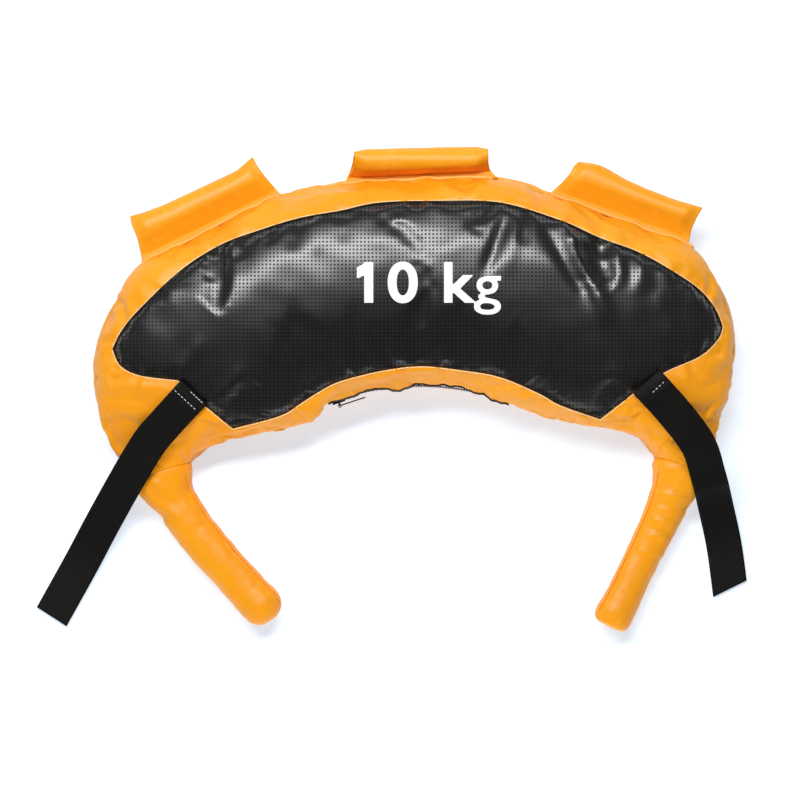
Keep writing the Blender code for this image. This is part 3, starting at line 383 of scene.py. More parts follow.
def turn_above_back(place, height, side):
    seam = section(place)[4]
    angle = math.acos(1 - min(height / seam, 1))
    return 3 + side * (BACK_TURN_SHARE + (1 - BACK_TURN_SHARE) * angle / (math.pi / 2))


def turn_at_dome(place, rise):
    _, _, _, crown, seam = section(place)
    return math.asin((rise / (crown - seam)) ** (DOME_POWER / 2)) / (math.pi / 2)


def noise_at(points, size, seed):
    """Smooth noise over points, from about -1 to 1, with lumps of a size."""
    flat = points.reshape(-1, 3) / size + np.array((seed * 7.3, seed * 3.1, seed * 5.7))
    found = [noise.noise(Vector(point), noise_basis="PERLIN_ORIGINAL") for point in flat]
    return np.array(found).reshape(points.shape[:-1])


def fold_heights(points, folds):
    """Height that a list of folds adds at each point."""
    x, y = points[..., 0] / MM, points[..., 1] / MM
    total = np.zeros(x.shape)
    for start_x, start_y, end_x, end_y, width, height in folds:
        run_x, run_y = end_x - start_x, end_y - start_y
        length = math.hypot(run_x, run_y)
        along = ((x - start_x) * run_x + (y - start_y) * run_y) / length**2
        aside = ((x - start_x) * run_y - (y - start_y) * run_x) / length
        ends = smooth_step((along + 0.3) / 0.55) * smooth_step((1.3 - along) / 0.55)
        total += height * MM * np.exp(-((aside / width) ** 2)) * ends
    return total


@lru_cache(maxsize=None)
def panel_outline():
    """The front panel's outline, rounded between its corners, as an array of points."""
    count = len(PANEL_SHARES)
    points = []
    for index in range(count):
        rows = []
        for step in (-1, 0, 1, 2):
            rows.append(PANEL_SHARES[(index + step) % count])
        if index in PANEL_CORNERS:
            rows[0] = rows[1]
        if (index + 1) % count in PANEL_CORNERS:
            rows[3] = rows[2]
        for share in spread(0, 1, 6)[:-1]:
            x, y = smooth_row(rows, 1 + share)
            points.append((x * BODY_HALF_SPAN, y * BODY_RISE))
    return np.array(points)


def near_outline(points):
    """Signed distance from the panel's outline, positive outside, then the nearest point on it
    and the run along it."""
    outline = panel_outline()
    steps = np.roll(outline, -1, axis=0) - outline
    lengths = np.linalg.norm(steps, axis=1)
    runs = np.concatenate(([0.0], np.cumsum(lengths)[:-1]))
    flat = points.reshape(-1, points.shape[-1])[:, :2]
    best = np.full(len(flat), np.inf)
    nearest = np.zeros((len(flat), 2))
    run = np.zeros(len(flat))
    inside = np.zeros(len(flat), bool)
    for start, step, length, at in zip(outline, steps, lengths, runs):
        offset = flat - start
        share = np.clip(offset @ step / length**2, 0, 1)
        spot = start + share[:, None] * step
        distance = np.linalg.norm(flat - spot, axis=1)
        closer = distance < best
        best[closer] = distance[closer]
        nearest[closer] = spot[closer]
        run[closer] = at + share[closer] * length
        end = start + step
        crosses = (start[1] > flat[:, 1]) != (end[1] > flat[:, 1])
        if crosses.any():
            at_x = start[0] + (flat[:, 1] - start[1]) / (step[1] or 1e-12) * step[0]
            inside ^= crosses & (flat[:, 0] < at_x)
    signed = np.where(inside, -best, best)
    shape = points.shape[:-1]
    return signed.reshape(shape), nearest.reshape(*shape, 2), run.reshape(shape)


# Grids and meshes


def to_piece(form, name, material=None, smooth=True):
    """Ends a bmesh as an object at the origin."""
    mesh = bpy.data.meshes.new(name)
    form.to_mesh(mesh)
    form.free()
    if smooth:
        mesh.shade_smooth()
    piece = bpy.data.objects.new(name, mesh)
    bpy.context.scene.collection.objects.link(piece)
    if material:
        mesh.materials.append(material)
    return piece


def grid_form(points, wrap=False, uv_size=(1.0, 1.0)):
    """A bmesh grid bent through an array of points. Its UV map runs in metres along and across."""
    columns, rows = points.shape[0] - 1, points.shape[1] - 1
    form = bmesh.new()
    layer = form.loops.layers.uv.new("cloth")
    bmesh.ops.create_grid(form, x_segments=columns, y_segments=rows, size=0.5, calc_uvs=True)
    for face in form.faces:
        for loop in face.loops:
            u, v = loop[layer].uv
            loop[layer].uv = (u * uv_size[0], v * uv_size[1])
    for vertex in form.verts:
        column = round((vertex.co.x + 0.5) * columns)
        row = round((vertex.co.y + 0.5) * rows)
        vertex.co = points[column, row]
    if wrap:
        bmesh.ops.remove_doubles(form, verts=form.verts, dist=1e-6)
    return form


def face_out(form, outwards_at):
    """Turns all faces outwards, where outwards_at gives a rough outward direction at a point."""
    bmesh.ops.recalc_face_normals(form, faces=form.faces)
    total = sum(
        face.normal.dot(outwards_at(face.calc_center_median())) * face.calc_area()
        for face in form.faces
    )
    if total < 0:
        bmesh.ops.reverse_faces(form, faces=form.faces)


def close_out(form):
    """Turns the faces of a closed form outwards."""
    bmesh.ops.recalc_face_normals(form, faces=form.faces)
    if form.calc_volume(signed=True) < 0:
        bmesh.ops.reverse_faces(form, faces=form.faces)


def take_in(form, other):
    """Adds another form to a form, and frees it."""
    mesh = bpy.data.meshes.new("passing")
    other.to_mesh(mesh)
    other.free()
    form.from_mesh(mesh)
    bpy.data.meshes.remove(mesh)


def add_wall(piece, thickness, offset=-1.0):
    """Gives a piece the thickness of its cloth."""
    wall = piece.modifiers.new("wall", "SOLIDIFY")
    wall.thickness = thickness
    wall.offset = offset


def finish_piece(piece, body, slot, *nodes):
    """Rides a piece on its body and lets it stand for the frame's nodes."""
    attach(piece, body)
    if nodes:
        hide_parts(*nodes)


# The settled body


BODY_COLUMNS = 320
DOME_ROWS = 92
SIDE_ROWS = 16
SIM_COLUMNS = 160
SIM_DOME_ROWS = 52
SIM_SIDE_ROWS = 9
SIM_BACK_ROWS = 8
SETTLE_FRAMES = 18
FILLING_PRESSURE = 3.0
CLOTH_GROWTH = 0.025
SEAM_HOLD = 0.9
PANEL_SEAM_HOLD = 0.3
PANEL_SEAM_WIDTH = 0.0028


def cubic_weights(fine, coarse):
    """Weights that carry values at evenly spaced coarse places smoothly to fine ones."""
    count = len(coarse)
    weights = np.zeros((len(fine), count))
    for row, value in enumerate(fine):
        at = (value - coarse[0]) / (coarse[-1] - coarse[0]) * (count - 1)
        first = min(max(int(at), 0), count - 2)
        t = at - first
        for step, weight in (
            (-1, 0.5 * (-t + 2 * t**2 - t**3)), (0, 0.5 * (2 - 5 * t**2 + 3 * t**3)),
            (1, 0.5 * (t + 4 * t**2 - 3 * t**3)), (2, 0.5 * (t**3 - t**2)),
        ):
            weights[row, min(max(first + step, 0), count - 1)] += weight
    return weights


def settle(form, held, cap):
    """Lets the filling push cloth that is cut a little large. Returns how far each point went,
    held points staying where they are sewn."""
    mesh = bpy.data.meshes.new("settling_cloth")
    form.to_mesh(mesh)
    start = np.empty(len(mesh.vertices) * 3)
    mesh.vertices.foreach_get("co", start)
    cloth_object = bpy.data.objects.new("settling_cloth", mesh)
    scene = bpy.context.scene
    scene.collection.objects.link(cloth_object)
    group = cloth_object.vertex_groups.new(name="sewn")
    for weight in sorted(set(held.values())):
        group.add([index for index, value in held.items() if value == weight], weight, "REPLACE")
    cloth = cloth_object.modifiers.new("settle", "CLOTH")
    cloth.settings.quality = 4
    cloth.settings.mass = 0.25
    cloth.settings.tension_stiffness = 18
    cloth.settings.compression_stiffness = 18
    cloth.settings.shear_stiffness = 6
    cloth.settings.bending_stiffness = 0.6
    cloth.settings.use_pressure = True
    cloth.settings.uniform_pressure_force = FILLING_PRESSURE
    cloth.settings.shrink_min = -CLOTH_GROWTH
    cloth.settings.vertex_group_mass = "sewn"
    cloth.settings.pin_stiffness = 1.0
    cloth.settings.effector_weights.gravity = 0.0
    cloth.collision_settings.use_collision = False
    cloth.point_cache.frame_start = 1
    cloth.point_cache.frame_end = SETTLE_FRAMES
    for step in range(1, SETTLE_FRAMES + 1):
        scene.frame_set(step)
    graph = bpy.context.evaluated_depsgraph_get()
    settled = cloth_object.evaluated_get(graph).to_mesh()
    end = np.empty(len(mesh.vertices) * 3)
    settled.vertices.foreach_get("co", end)
    cloth_object.evaluated_get(graph).to_mesh_clear()
    bpy.data.objects.remove(cloth_object, do_unlink=True)
    bpy.data.meshes.remove(mesh)
    scene.frame_set(1)
    moved = (end - start).reshape(-1, 3)
    far = np.linalg.norm(moved, axis=1, keepdims=True)
    return moved * np.minimum(1.0, cap / np.maximum(far, 1e-9))


def sim_turns():
    dome = spread(0, 2, SIM_DOME_ROWS)
    inner = spread(2, 3 - BACK_TURN_SHARE, SIM_SIDE_ROWS)[1:]
    back = spread(3 - BACK_TURN_SHARE, 3 + BACK_TURN_SHARE, SIM_BACK_ROWS)[1:]
    outer = spread(3 + BACK_TURN_SHARE, 4, SIM_SIDE_ROWS)[1:]
    return np.array(dome + inner + back + outer)


@lru_cache(maxsize=None)
def settled_field():
    """How far the sand pushes the body's cloth: an array over the coarse places and turns."""
    places = spread(0, LAST_PLACE, SIM_COLUMNS)
    turns = sim_turns()
    points = body_points(places, np.tile(turns, (len(places), 1)))
    field = np.zeros(points.shape)
    form = grid_form(points)
    column = form.verts.layers.int.new("column")
    row = form.verts.layers.int.new("row")
    rows = points.shape[1]
    for index, vertex in enumerate(form.verts):
        vertex[column] = index % len(places)
        vertex[row] = index // len(places)
    bmesh.ops.remove_doubles(form, verts=form.verts, dist=1e-6)
    rims = [edge for edge in form.edges if edge.is_boundary]
    bmesh.ops.holes_fill(form, edges=rims, sides=0)
    bmesh.ops.recalc_face_normals(form, faces=form.faces)
    form.verts.index_update()
    signed, _, _ = near_outline(points)
    held = {}
    for vertex in form.verts:
        turn = turns[vertex[row]]
        at_end = vertex[column] in (0, SIM_COLUMNS)
        side_turns = (1 - BACK_TURN_SHARE) * 0.9
        on_back = 2 + side_turns < turn < 4 - side_turns
        on_seam = turn in (0.0, 2.0, 4.0)
        from_panel_seam = abs(signed[vertex[column], vertex[row]])
        if at_end or on_back:
            held[vertex.index] = 1.0
        elif on_seam:
            held[vertex.index] = SEAM_HOLD
        elif turn < 2 and from_panel_seam < PANEL_SEAM_WIDTH:
            held[vertex.index] = PANEL_SEAM_HOLD
    spots = [(vertex[column], vertex[row]) for vertex in form.verts]
    moved = settle(form, held, sizes().swell)
    form.free()
    for (at_column, at_row), step in zip(spots, moved):
        field[at_column, at_row] = step
    field[:, rows - 1] = field[:, 0]
    return field


def field_at(places, turns, first_row, last_row):
    """The settled field carried to a fine grid, from the coarse rows between two given ones."""
    field = settled_field()[:, first_row:last_row + 1]
    coarse_places = spread(0, LAST_PLACE, SIM_COLUMNS)
    along = cubic_weights(places, coarse_places)
    carried = np.einsum("fc,cri->fri", along, field)
    coarse_turns = sim_turns()[first_row:last_row + 1]
    found = np.empty((len(places), turns.shape[1], 3))
    for column in range(len(places)):
        across = cubic_weights(turns[column], coarse_turns)
        found[column] = across @ carried[column]
    return found


# How far from a seam or an edge its relief reaches, in metres
SEAM_DIP_REACH = 0.004
PUCKER_START = 0.003
PUCKER_REACH = 0.012
OUTLINE_PUCKER_REACH = 0.010
OUTLINE_DENT = 0.0011
OUTLINE_DENT_REACH = 0.0045
ARCH_WAVE_REACH = 0.013
ZIP_WINDOW_FADE = 0.003
LOW_FADE_HEIGHT = 0.012
END_FADE_PLACES = 0.5


def arch_waves(points):
    """How far the arch's orange edge stands over the zip at each point, in metres."""
    offset_x = ARCH_CENTRE.x - points[..., 0]
    offset_y = points[..., 1] - ARCH_CENTRE.y
    angle = np.degrees(np.arctan2(offset_x, offset_y))
    last_angle = ARCH_WAVES[-1][0]
    dense = spread(-last_angle, last_angle, 160)
    heights = np.pad(np.interp(dense, *zip(*ARCH_WAVES)), 2, "edge")
    smoothed = np.convolve(heights, (0.1, 0.2, 0.4, 0.2, 0.1), "valid")
    return np.interp(angle, dense, smoothed) * MM * (np.abs(angle) < last_angle)


def seam_relief(points, seam_points, places, side):
    """Dips and puckers that a seam makes in the cloth beside it."""
    distance = np.linalg.norm(points - seam_points[:, None, :], axis=2)
    flat = np.zeros(len(places))
    line = np.stack([np.array(places) * 0.9, flat + side, flat], axis=1)
    pucker = noise_at(line * MM, 0.3 * MM, 1) * 0.7 + noise_at(line * MM, 0.13 * MM, 2) * 0.5
    height = -sizes().seam_dip * np.exp(-((distance / SEAM_DIP_REACH) ** 2))
    height += (
        sizes().puckers * pucker[:, None] * np.exp(-distance / PUCKER_REACH)
        * (distance / PUCKER_START).clip(0, 1)
    )
    return height


@lru_cache(maxsize=None)
def body_places():
    return tuple(spread(0, LAST_PLACE, BODY_COLUMNS))


def zip_window(place):
    """1 where the arch's seam is open for the zip, 0 past its ends."""
    middle, across, half_width, _, _ = section(place)
    spoke = middle - across * half_width - ARCH_CENTRE
    past = abs(math.atan2(spoke.x, spoke.y)) - ZIP_HALF_ANGLE
    return float(smooth_step(0.5 - past * ARCH_RADIUS / ZIP_WINDOW_FADE))


def zip_opening(place):
    """Half the height of the gap at the inner seam, which is wide over the zip."""
    return SEAM_GAP / 2 + (ZIP_TAPE_HEIGHT / 2 + GAP - SEAM_GAP / 2) * zip_window(place)


def fade_at_ends(places):
    """1 along the body, falling to 0 at its two ends."""
    ends = np.minimum(np.array(places), LAST_PLACE - np.array(places))
    return smooth_step(ends / END_FADE_PLACES)


@lru_cache(maxsize=None)
def dressed_dome():
    """The front's outer surface with its folds: points, outward directions and outline distance."""
    places = body_places()
    turns = np.empty((len(places), DOME_ROWS + 1))
    for column, place in enumerate(places):
        low = turn_at_dome(place, SEAM_GAP / 2)
        turns[column] = spread(low, 2 - turn_at_dome(place, zip_opening(place)), DOME_ROWS)
    base = body_points(places, turns)
    outwards = outwards_of(base)
    outer_seam = body_points(places, np.zeros((len(places), 1)))[:, 0]
    inner_seam = body_points(places, np.full((len(places), 1), 2.0))[:, 0]
    points = base + field_at(places, turns, 0, SIM_DOME_ROWS)
    signed, _, run = near_outline(base)
    height = fold_heights(base, FOLDS) * sizes().wrinkles
    height += seam_relief(base, outer_seam, places, 0) + seam_relief(base, inner_seam, places, 3)
    line = np.stack([run, np.zeros(run.shape), np.zeros(run.shape)], axis=-1)
    pucker = noise_at(line, 0.014, 3) * 0.7 + noise_at(line, 0.006, 4) * 0.4
    height += sizes().puckers * 0.9 * pucker * np.exp(-np.abs(signed) / OUTLINE_PUCKER_REACH)
    height -= OUTLINE_DENT * np.exp(-((signed / OUTLINE_DENT_REACH) ** 2))
    height += sizes().lumps * (noise_at(base, 0.055, 5) + 0.45 * noise_at(base, 0.022, 6))
    height *= fade_at_ends(places)[:, None]
    points = points + outwards * height[..., None]
    from_inner = np.linalg.norm(base - inner_seam[:, None, :], axis=2)
    towards = np.array((*ARCH_CENTRE, 0)) - inner_seam
    towards[:, 2] = 0
    towards /= np.linalg.norm(towards, axis=1, keepdims=True)
    wave = arch_waves(inner_seam)[:, None] * np.exp(-((from_inner / ARCH_WAVE_REACH) ** 2))
    points += towards[:, None, :] * wave[..., None]
    return points, outwards_of(points), near_outline(points)[0]


@lru_cache(maxsize=None)
def dome_tree():
    form = grid_form(dressed_dome()[0])
    tree = BVHTree.FromBMesh(form)
    form.free()
    return tree


def point_on_dome(x, y):
    """The point of the dressed front over a place, or None where there is none."""
    return dome_tree().ray_cast(Vector((x, y, 2 * CROWN_HEIGHT)), Vector((0, 0, -1)))[0]


def side_points(side):
    """Outer surface of a side strip from the front's seam down to the back. Side 1 is the outer."""
    places = body_places()
    turns = np.empty((len(places), SIDE_ROWS + 1))
    for column, place in enumerate(places):
        drop = zip_opening(place) if side < 0 else SEAM_GAP / 2
        top = turn_above_back(place, section(place)[4] - drop, side)
        turns[column] = spread(top, turn_above_back(place, BACK_LIFT, side), SIDE_ROWS)
    if side > 0:
        turns = turns[:, ::-1]
    base = body_points(places, turns)
    outwards = outwards_of(base)
    first = SIM_DOME_ROWS if side < 0 else SIM_DOME_ROWS + SIM_SIDE_ROWS + SIM_BACK_ROWS
    points = base + field_at(places, turns, first, first + SIM_SIDE_ROWS)
    seam_turn = 2.0 if side < 0 else 0.0
    seam_line = body_points(places, np.full((len(places), 1), seam_turn))[:, 0]
    height = seam_relief(base, seam_line, places, 0 if side > 0 else 3)
    height += sizes().lumps * 0.8 * noise_at(base, 0.045, 7)
    low = smooth_step(base[..., 2] / LOW_FADE_HEIGHT)
    height *= low * fade_at_ends(places)[:, None]
    points = points + outwards * height[..., None]
    points[..., 2] = np.maximum(points[..., 2], BACK_LIFT)
    return points


# Finishes


def new_material(name, **values):
    """A material, its nodes and its shader, with the shader's own values set."""
    material = bpy.data.materials.new(name)
    material.use_nodes = True
    shader = material.node_tree.nodes["Principled BSDF"]
    for socket, value in values.items():
        shader.inputs[socket.replace("_", " ")].default_value = value
    return material, material.node_tree, shader


def put(tree, socket, value):
    """Links another node's socket to a socket, or sets its value. A colour has three numbers."""
    if isinstance(value, bpy.types.NodeSocket):
        tree.links.new(value, socket)
    elif isinstance(value, tuple) and socket.type == "RGBA":
        socket.default_value = (*value, 1)
    else:
        socket.default_value = value


def add_node(tree, kind, inputs=None, **settings):
    """Adds a node. Inputs are values, or sockets to link from."""
    node = tree.nodes.new(kind)
    for name, value in settings.items():
        setattr(node, name, value)
    for name, value in (inputs or {}).items():
        put(tree, node.inputs[name], value)
    return node


def maths(tree, operation, first, second=0.0, third=0.0):
    inputs = {0: first, 1: second}
    if operation == "MULTIPLY_ADD":
        inputs[2] = third
    return add_node(tree, "ShaderNodeMath", inputs, operation=operation).outputs[0]


def ramp(tree, factor, low, high):
    """A smooth rise from 0 to 1 between two values."""
    return add_node(
        tree, "ShaderNodeMapRange", {"Value": factor, "From Min": low, "From Max": high},
        interpolation_type="SMOOTHSTEP",
    ).outputs[0]


def mix_colour(tree, factor, first, second):
    node = add_node(tree, "ShaderNodeMix", data_type="RGBA")
    for index, value in ((0, factor), (6, first), (7, second)):
        put(tree, node.inputs[index], value)
    return node.outputs[2]


def tinted(tone, shares, lift=0.0):
    """A colour with its channels scaled and lifted, and held to 1."""
    return tuple(np.minimum(np.array(tone) * shares + lift, 1.0).tolist())


def new_group(name, inputs, outputs):
    """A node group with float inputs and named outputs."""
    group = bpy.data.node_groups.new(name, "ShaderNodeTree")
    for label, value in inputs.items():
        socket = group.interface.new_socket(label, in_out="INPUT", socket_type="NodeSocketFloat")
        socket.default_value = value
    for label in outputs:
        group.interface.new_socket(label, in_out="OUTPUT", socket_type="NodeSocketFloat")
    start = group.nodes.new("NodeGroupInput")
    end = group.nodes.new("NodeGroupOutput")
    return group, start.outputs, end.inputs


def use_group(tree, group, inputs):
    return add_node(tree, "ShaderNodeGroup", node_tree=group, inputs=inputs).outputs


def cloth_coordinates(tree):
    return add_node(tree, "ShaderNodeTexCoord").outputs["Object"]


@lru_cache(maxsize=None)
def grain_group():
    """Fine leathery grain of a coated cloth, with its soft mottling."""
    group, given, out = new_group(
        "coated grain", {"Grain Size": 900.0, "Mottle Size": 14.0}, ("Height", "Mottle")
    )
    spot = cloth_coordinates(group)
    fine = add_node(group, "ShaderNodeTexNoise", {
        "Vector": spot, "Scale": given["Grain Size"], "Detail": 3.0, "Roughness": 0.6,
    })
    cells = add_node(group, "ShaderNodeTexVoronoi", {
        "Vector": spot, "Scale": given["Grain Size"],
    }, feature="SMOOTH_F1")
    height = maths(group, "MULTIPLY_ADD", cells.outputs["Distance"], 0.6, fine.outputs[0])
    group.links.new(height, out["Height"])
    mottle = add_node(group, "ShaderNodeTexNoise", {
        "Vector": spot, "Scale": given["Mottle Size"], "Detail": 4.0, "Roughness": 0.55,
    })
    group.links.new(mottle.outputs[0], out["Mottle"])
    return group


@lru_cache(maxsize=None)
def pip_group():
    """Square pips in straight rows, seen from the front, that wander slightly as cloth does."""
    group, given, out = new_group(
        "square pips", {"Pitch": 0.0034, "Wander": 0.0003}, ("Height", "Top")
    )
    spot = cloth_coordinates(group)
    drift = add_node(group, "ShaderNodeTexNoise", {"Vector": spot, "Scale": 22.0, "Detail": 1.0})
    centred = add_node(
        group, "ShaderNodeVectorMath", {0: drift.outputs["Color"], 1: (0.5, 0.5, 0.5)},
        operation="SUBTRACT",
    )
    scaled = add_node(
        group, "ShaderNodeVectorMath", {0: centred.outputs[0], "Scale": given["Wander"]},
        operation="SCALE",
    )
    moved = add_node(
        group, "ShaderNodeVectorMath", {0: spot, 1: scaled.outputs[0]}, operation="ADD"
    )
    split = add_node(group, "ShaderNodeSeparateXYZ", {0: moved.outputs[0]})
    waves = []
    for axis in ("X", "Y"):
        turns = maths(group, "DIVIDE", split.outputs[axis], given["Pitch"])
        wave = maths(group, "SINE", maths(group, "MULTIPLY", turns, 2 * math.pi))
        waves.append(ramp(group, wave, -0.75, 0.85))
    product = maths(group, "MULTIPLY", waves[0], waves[1])
    group.links.new(product, out["Height"])
    group.links.new(ramp(group, product, 0.1, 0.8), out["Top"])
    return group


@lru_cache(maxsize=None)
def weave_group():
    """Woven ribs of a tape, along its UV map in metres: fine ribs across, a slight herringbone."""
    group, given, out = new_group(
        "woven ribs", {"Rib Pitch": 0.0014, "Row Pitch": 0.0040}, ("Height", "Shade")
    )
    spot = add_node(group, "ShaderNodeUVMap", uv_map="cloth").outputs[0]
    split = add_node(group, "ShaderNodeSeparateXYZ", {0: spot})
    row = maths(group, "DIVIDE", split.outputs["Y"], given["Row Pitch"])
    zigzag = maths(group, "PINGPONG", row, 0.5)
    across = maths(group, "DIVIDE", split.outputs["X"], given["Rib Pitch"])
    rib = maths(group, "MULTIPLY_ADD", zigzag, 2.0, across)
    rib_wave = maths(group, "SINE", maths(group, "MULTIPLY", rib, math.pi))
    ribs = maths(group, "ABSOLUTE", rib_wave)
    height = maths(group, "MULTIPLY", ribs, ramp(group, zigzag, 0.0, 0.12))
    fibre = add_node(group, "ShaderNodeTexNoise", {
        "Vector": cloth_coordinates(group), "Scale": 2600.0, "Detail": 2.0,
    })
    fluffy = maths(group, "MULTIPLY_ADD", fibre.outputs[0], 0.35, height)
    group.links.new(fluffy, out["Height"])
    group.links.new(height, out["Shade"])
    return group


@lru_cache(maxsize=None)
def wear_group():
    """Patches where hands and floors have worn a surface."""
    group, given, out = new_group(
        "handling wear", {"Patch Size": 9.0, "Amount": 0.5}, ("Wear", "Dust")
    )
    spot = cloth_coordinates(group)
    broad = add_node(group, "ShaderNodeTexNoise", {
        "Vector": spot, "Scale": given["Patch Size"], "Detail": 5.0, "Roughness": 0.65,
    }).outputs[0]
    fine = add_node(group, "ShaderNodeTexNoise", {
        "Vector": spot, "Scale": 190.0, "Detail": 3.0,
    }).outputs[0]
    wear_and_highlight = ramp(group, maths(group, "MULTIPLY", broad, fine), 0.26, 0.42)
    dusty = ramp(group, fine, 0.6, 0.8)
    group.links.new(maths(group, "MULTIPLY", wear_and_highlight, given["Amount"]), out["Wear"])
    group.links.new(maths(group, "MULTIPLY", dusty, given["Amount"]), out["Dust"])
    return group


def finish(tree, shader, tone, rough, height, strength, distance):
    """Gives a shader its colour, its roughness and its relief. rough is a mask, its share and
    the least roughness."""
    tree.links.new(tone, shader.inputs["Base Color"])
    tree.links.new(maths(tree, "MULTIPLY_ADD", *rough), shader.inputs["Roughness"])
    relief = add_node(
        tree, "ShaderNodeBump", {"Height": height, "Strength": strength, "Distance": distance}
    )
    tree.links.new(relief.outputs[0], shader.inputs["Normal"])


@lru_cache(maxsize=None)
def orange_cloth():
    """Coated cloth, mottled, worn pale in patches, with painted pale highlights on its folded
    edges, welts and ridges.
    """
    material, tree, shader = new_material("orange coated cloth", Specular_IOR_Level=0.42)
    orange = tuple(colours().orange)
    grain = use_group(tree, grain_group(), {"Grain Size": 700.0, "Mottle Size": 11.0})
    wear = use_group(tree, wear_group(), {"Patch Size": 8.0, "Amount": 0.5})
    deep = tinted(orange, (0.98, 0.92, 0.80))
    pale = tinted(orange, (1.0, 1.08, 1.0), (0.03, 0.03, 0.02))
    toned = mix_colour(tree, ramp(tree, grain["Mottle"], 0.36, 0.66), deep, orange)
    worn = mix_colour(tree, wear["Wear"], toned, pale)
    # Painted highlight: a share stored on each vertex of the rolled edges, welts and ridges mixes
    # the colour towards pale cream.
    edge = add_node(tree, "ShaderNodeAttribute", attribute_name="rub").outputs["Fac"]
    wear_and_highlight = mix_colour(tree, maths(tree, "MULTIPLY", edge, 0.75), worn, (1.0, 0.70, 0.38))
    finish(tree, shader, wear_and_highlight, (wear["Wear"], 0.14, 0.45), grain["Height"], 0.22, 0.00035)
    return material


@lru_cache(maxsize=None)
def pip_cloth():
    """Glossy black cloth with matte square pips."""
    material, tree, shader = new_material(
        "black pebbled cloth", Specular_IOR_Level=0.15, Coat_Roughness=0.33, Coat_IOR=1.95
    )
    black = tuple(colours().black)
    pips = use_group(tree, pip_group(), {"Pitch": sizes().pip_pitch, "Wander": 0.0006})
    grain = use_group(tree, grain_group(), {"Grain Size": 1100.0, "Mottle Size": 9.0})
    wear = use_group(tree, wear_group(), {"Patch Size": 7.0, "Amount": 0.35})
    mottle = ramp(tree, grain["Mottle"], 0.35, 0.7)
    base = mix_colour(tree, mottle, black, tinted(black, 1.5))
    dusty = mix_colour(tree, wear["Wear"], base, (0.010, 0.0095, 0.009))
    shine = maths(tree, "MULTIPLY_ADD", pips["Top"], -0.60, 0.62)
    tree.links.new(shine, shader.inputs["Coat Weight"])
    height = maths(tree, "MULTIPLY_ADD", grain["Height"], 0.06, pips["Height"])
    finish(tree, shader, dusty, (wear["Wear"], 0.2, 0.5), height, 0.35, 0.0004)
    return material


@lru_cache(maxsize=None)
def back_cloth():
    """Dusty black cloth of the back."""
    material, tree, shader = new_material("black back cloth", Specular_IOR_Level=0.4)
    black = tuple(colours().black)
    grain = use_group(tree, grain_group(), {"Grain Size": 600.0, "Mottle Size": 12.0})
    wear = use_group(tree, wear_group(), {"Patch Size": 6.0, "Amount": 0.8})
    toned = mix_colour(tree, grain["Mottle"], black, tinted(black, 2.4))
    worn = mix_colour(tree, wear["Dust"], toned, (0.09, 0.085, 0.078))
    finish(tree, shader, worn, (wear["Wear"], 0.25, 0.45), grain["Height"], 0.35, 0.0005)
    return material


@lru_cache(maxsize=None)
def webbing_cloth():
    """Black woven webbing, a little fluffed."""
    material, tree, shader = new_material("black webbing", Specular_IOR_Level=0.12)
    dark = tuple(colours().webbing)
    weave = use_group(
        tree, weave_group(), {"Rib Pitch": sizes().rib_pitch, "Row Pitch": 0.0040}
    )
    wear = use_group(tree, wear_group(), {"Patch Size": 12.0, "Amount": 0.5})
    toned = mix_colour(tree, weave["Shade"], dark, tinted(dark, 2.2, 0.001))
    fluffed = mix_colour(tree, wear["Dust"], toned, (0.016, 0.015, 0.014))
    finish(tree, shader, fluffed, (weave["Shade"], -0.12, 0.70), weave["Height"], 0.4, 0.0002)
    return material


# Plain finishes: colour, or the name of its property, then roughness, metallic, grain size, bump
# strength and change of tone
PLAIN_FINISHES = {
    "stitching thread": ("thread", 0.6, 0.0, 2500.0, 0.2, 0.25),
    "zip teeth": ((0.012, 0.012, 0.012), 0.38, 0.0, 900.0, 0.2, 0.25),
    "blackened zip metal": ((0.02, 0.02, 0.021), 0.38, 1.0, 1200.0, 0.2, 0.25),
    "sack film": ("film", 0.42, 0.0, 160.0, 0.4, 0.25),
    "wadding": ("wadding", 0.92, 0.0, 350.0, 0.7, 0.25),
    "handle foam": ("foam", 0.88, 0.0, 1400.0, 0.8, 0.25),
    "weight mark ink": ("mark", 0.5, 0.0, 800.0, 0.15, 0.04),
    "studio floor": ("floor", 0.75, 0.0, 40.0, 0.02, 0.01),
}


@lru_cache(maxsize=None)
def plain_finish(name):
    """A finish with fine grain and a soft change of tone."""
    tone, roughness, metallic, grain_size, strength, change = PLAIN_FINISHES[name]
    if isinstance(tone, str):
        tone = tuple(getattr(colours(), tone))
    material, tree, shader = new_material(name, Metallic=metallic)
    grain = use_group(tree, grain_group(), {"Grain Size": grain_size, "Mottle Size": 60.0})
    wear = use_group(tree, wear_group(), {"Patch Size": 40.0, "Amount": 0.5})
    toned = mix_colour(tree, grain["Mottle"], tinted(tone, 1 - change), tone)
    worn = mix_colour(tree, wear["Wear"], toned, tinted(tone, 1.2, 0.02))
    finish(tree, shader, worn, (wear["Wear"], 0.15, roughness), grain["Height"], strength, 0.0004)
    return material


# Pieces of the bag


PANEL_TUCK = 0.0035
BAND_ROLL = ((0.0003, 0.00008), (0.00028, 0.0003), (0.0001, 0.0007))
RIM_RADIUS = 0.00055


def roll_edge(form, edges, steps):
    """Rolls an open edge in and down, as cloth folded under at a seam."""
    for inwards, down in steps:
        grown = bmesh.ops.extrude_edge_only(form, edges=edges)["geom"]
        points = [item for item in grown if isinstance(item, bmesh.types.BMVert)]
        edges = [
            item for item in grown
            if isinstance(item, bmesh.types.BMEdge) and item.is_boundary
            and item.verts[0] in points and item.verts[1] in points
        ]
        for point in points:
            point.co.z -= down
        shift_inwards(points, inwards)


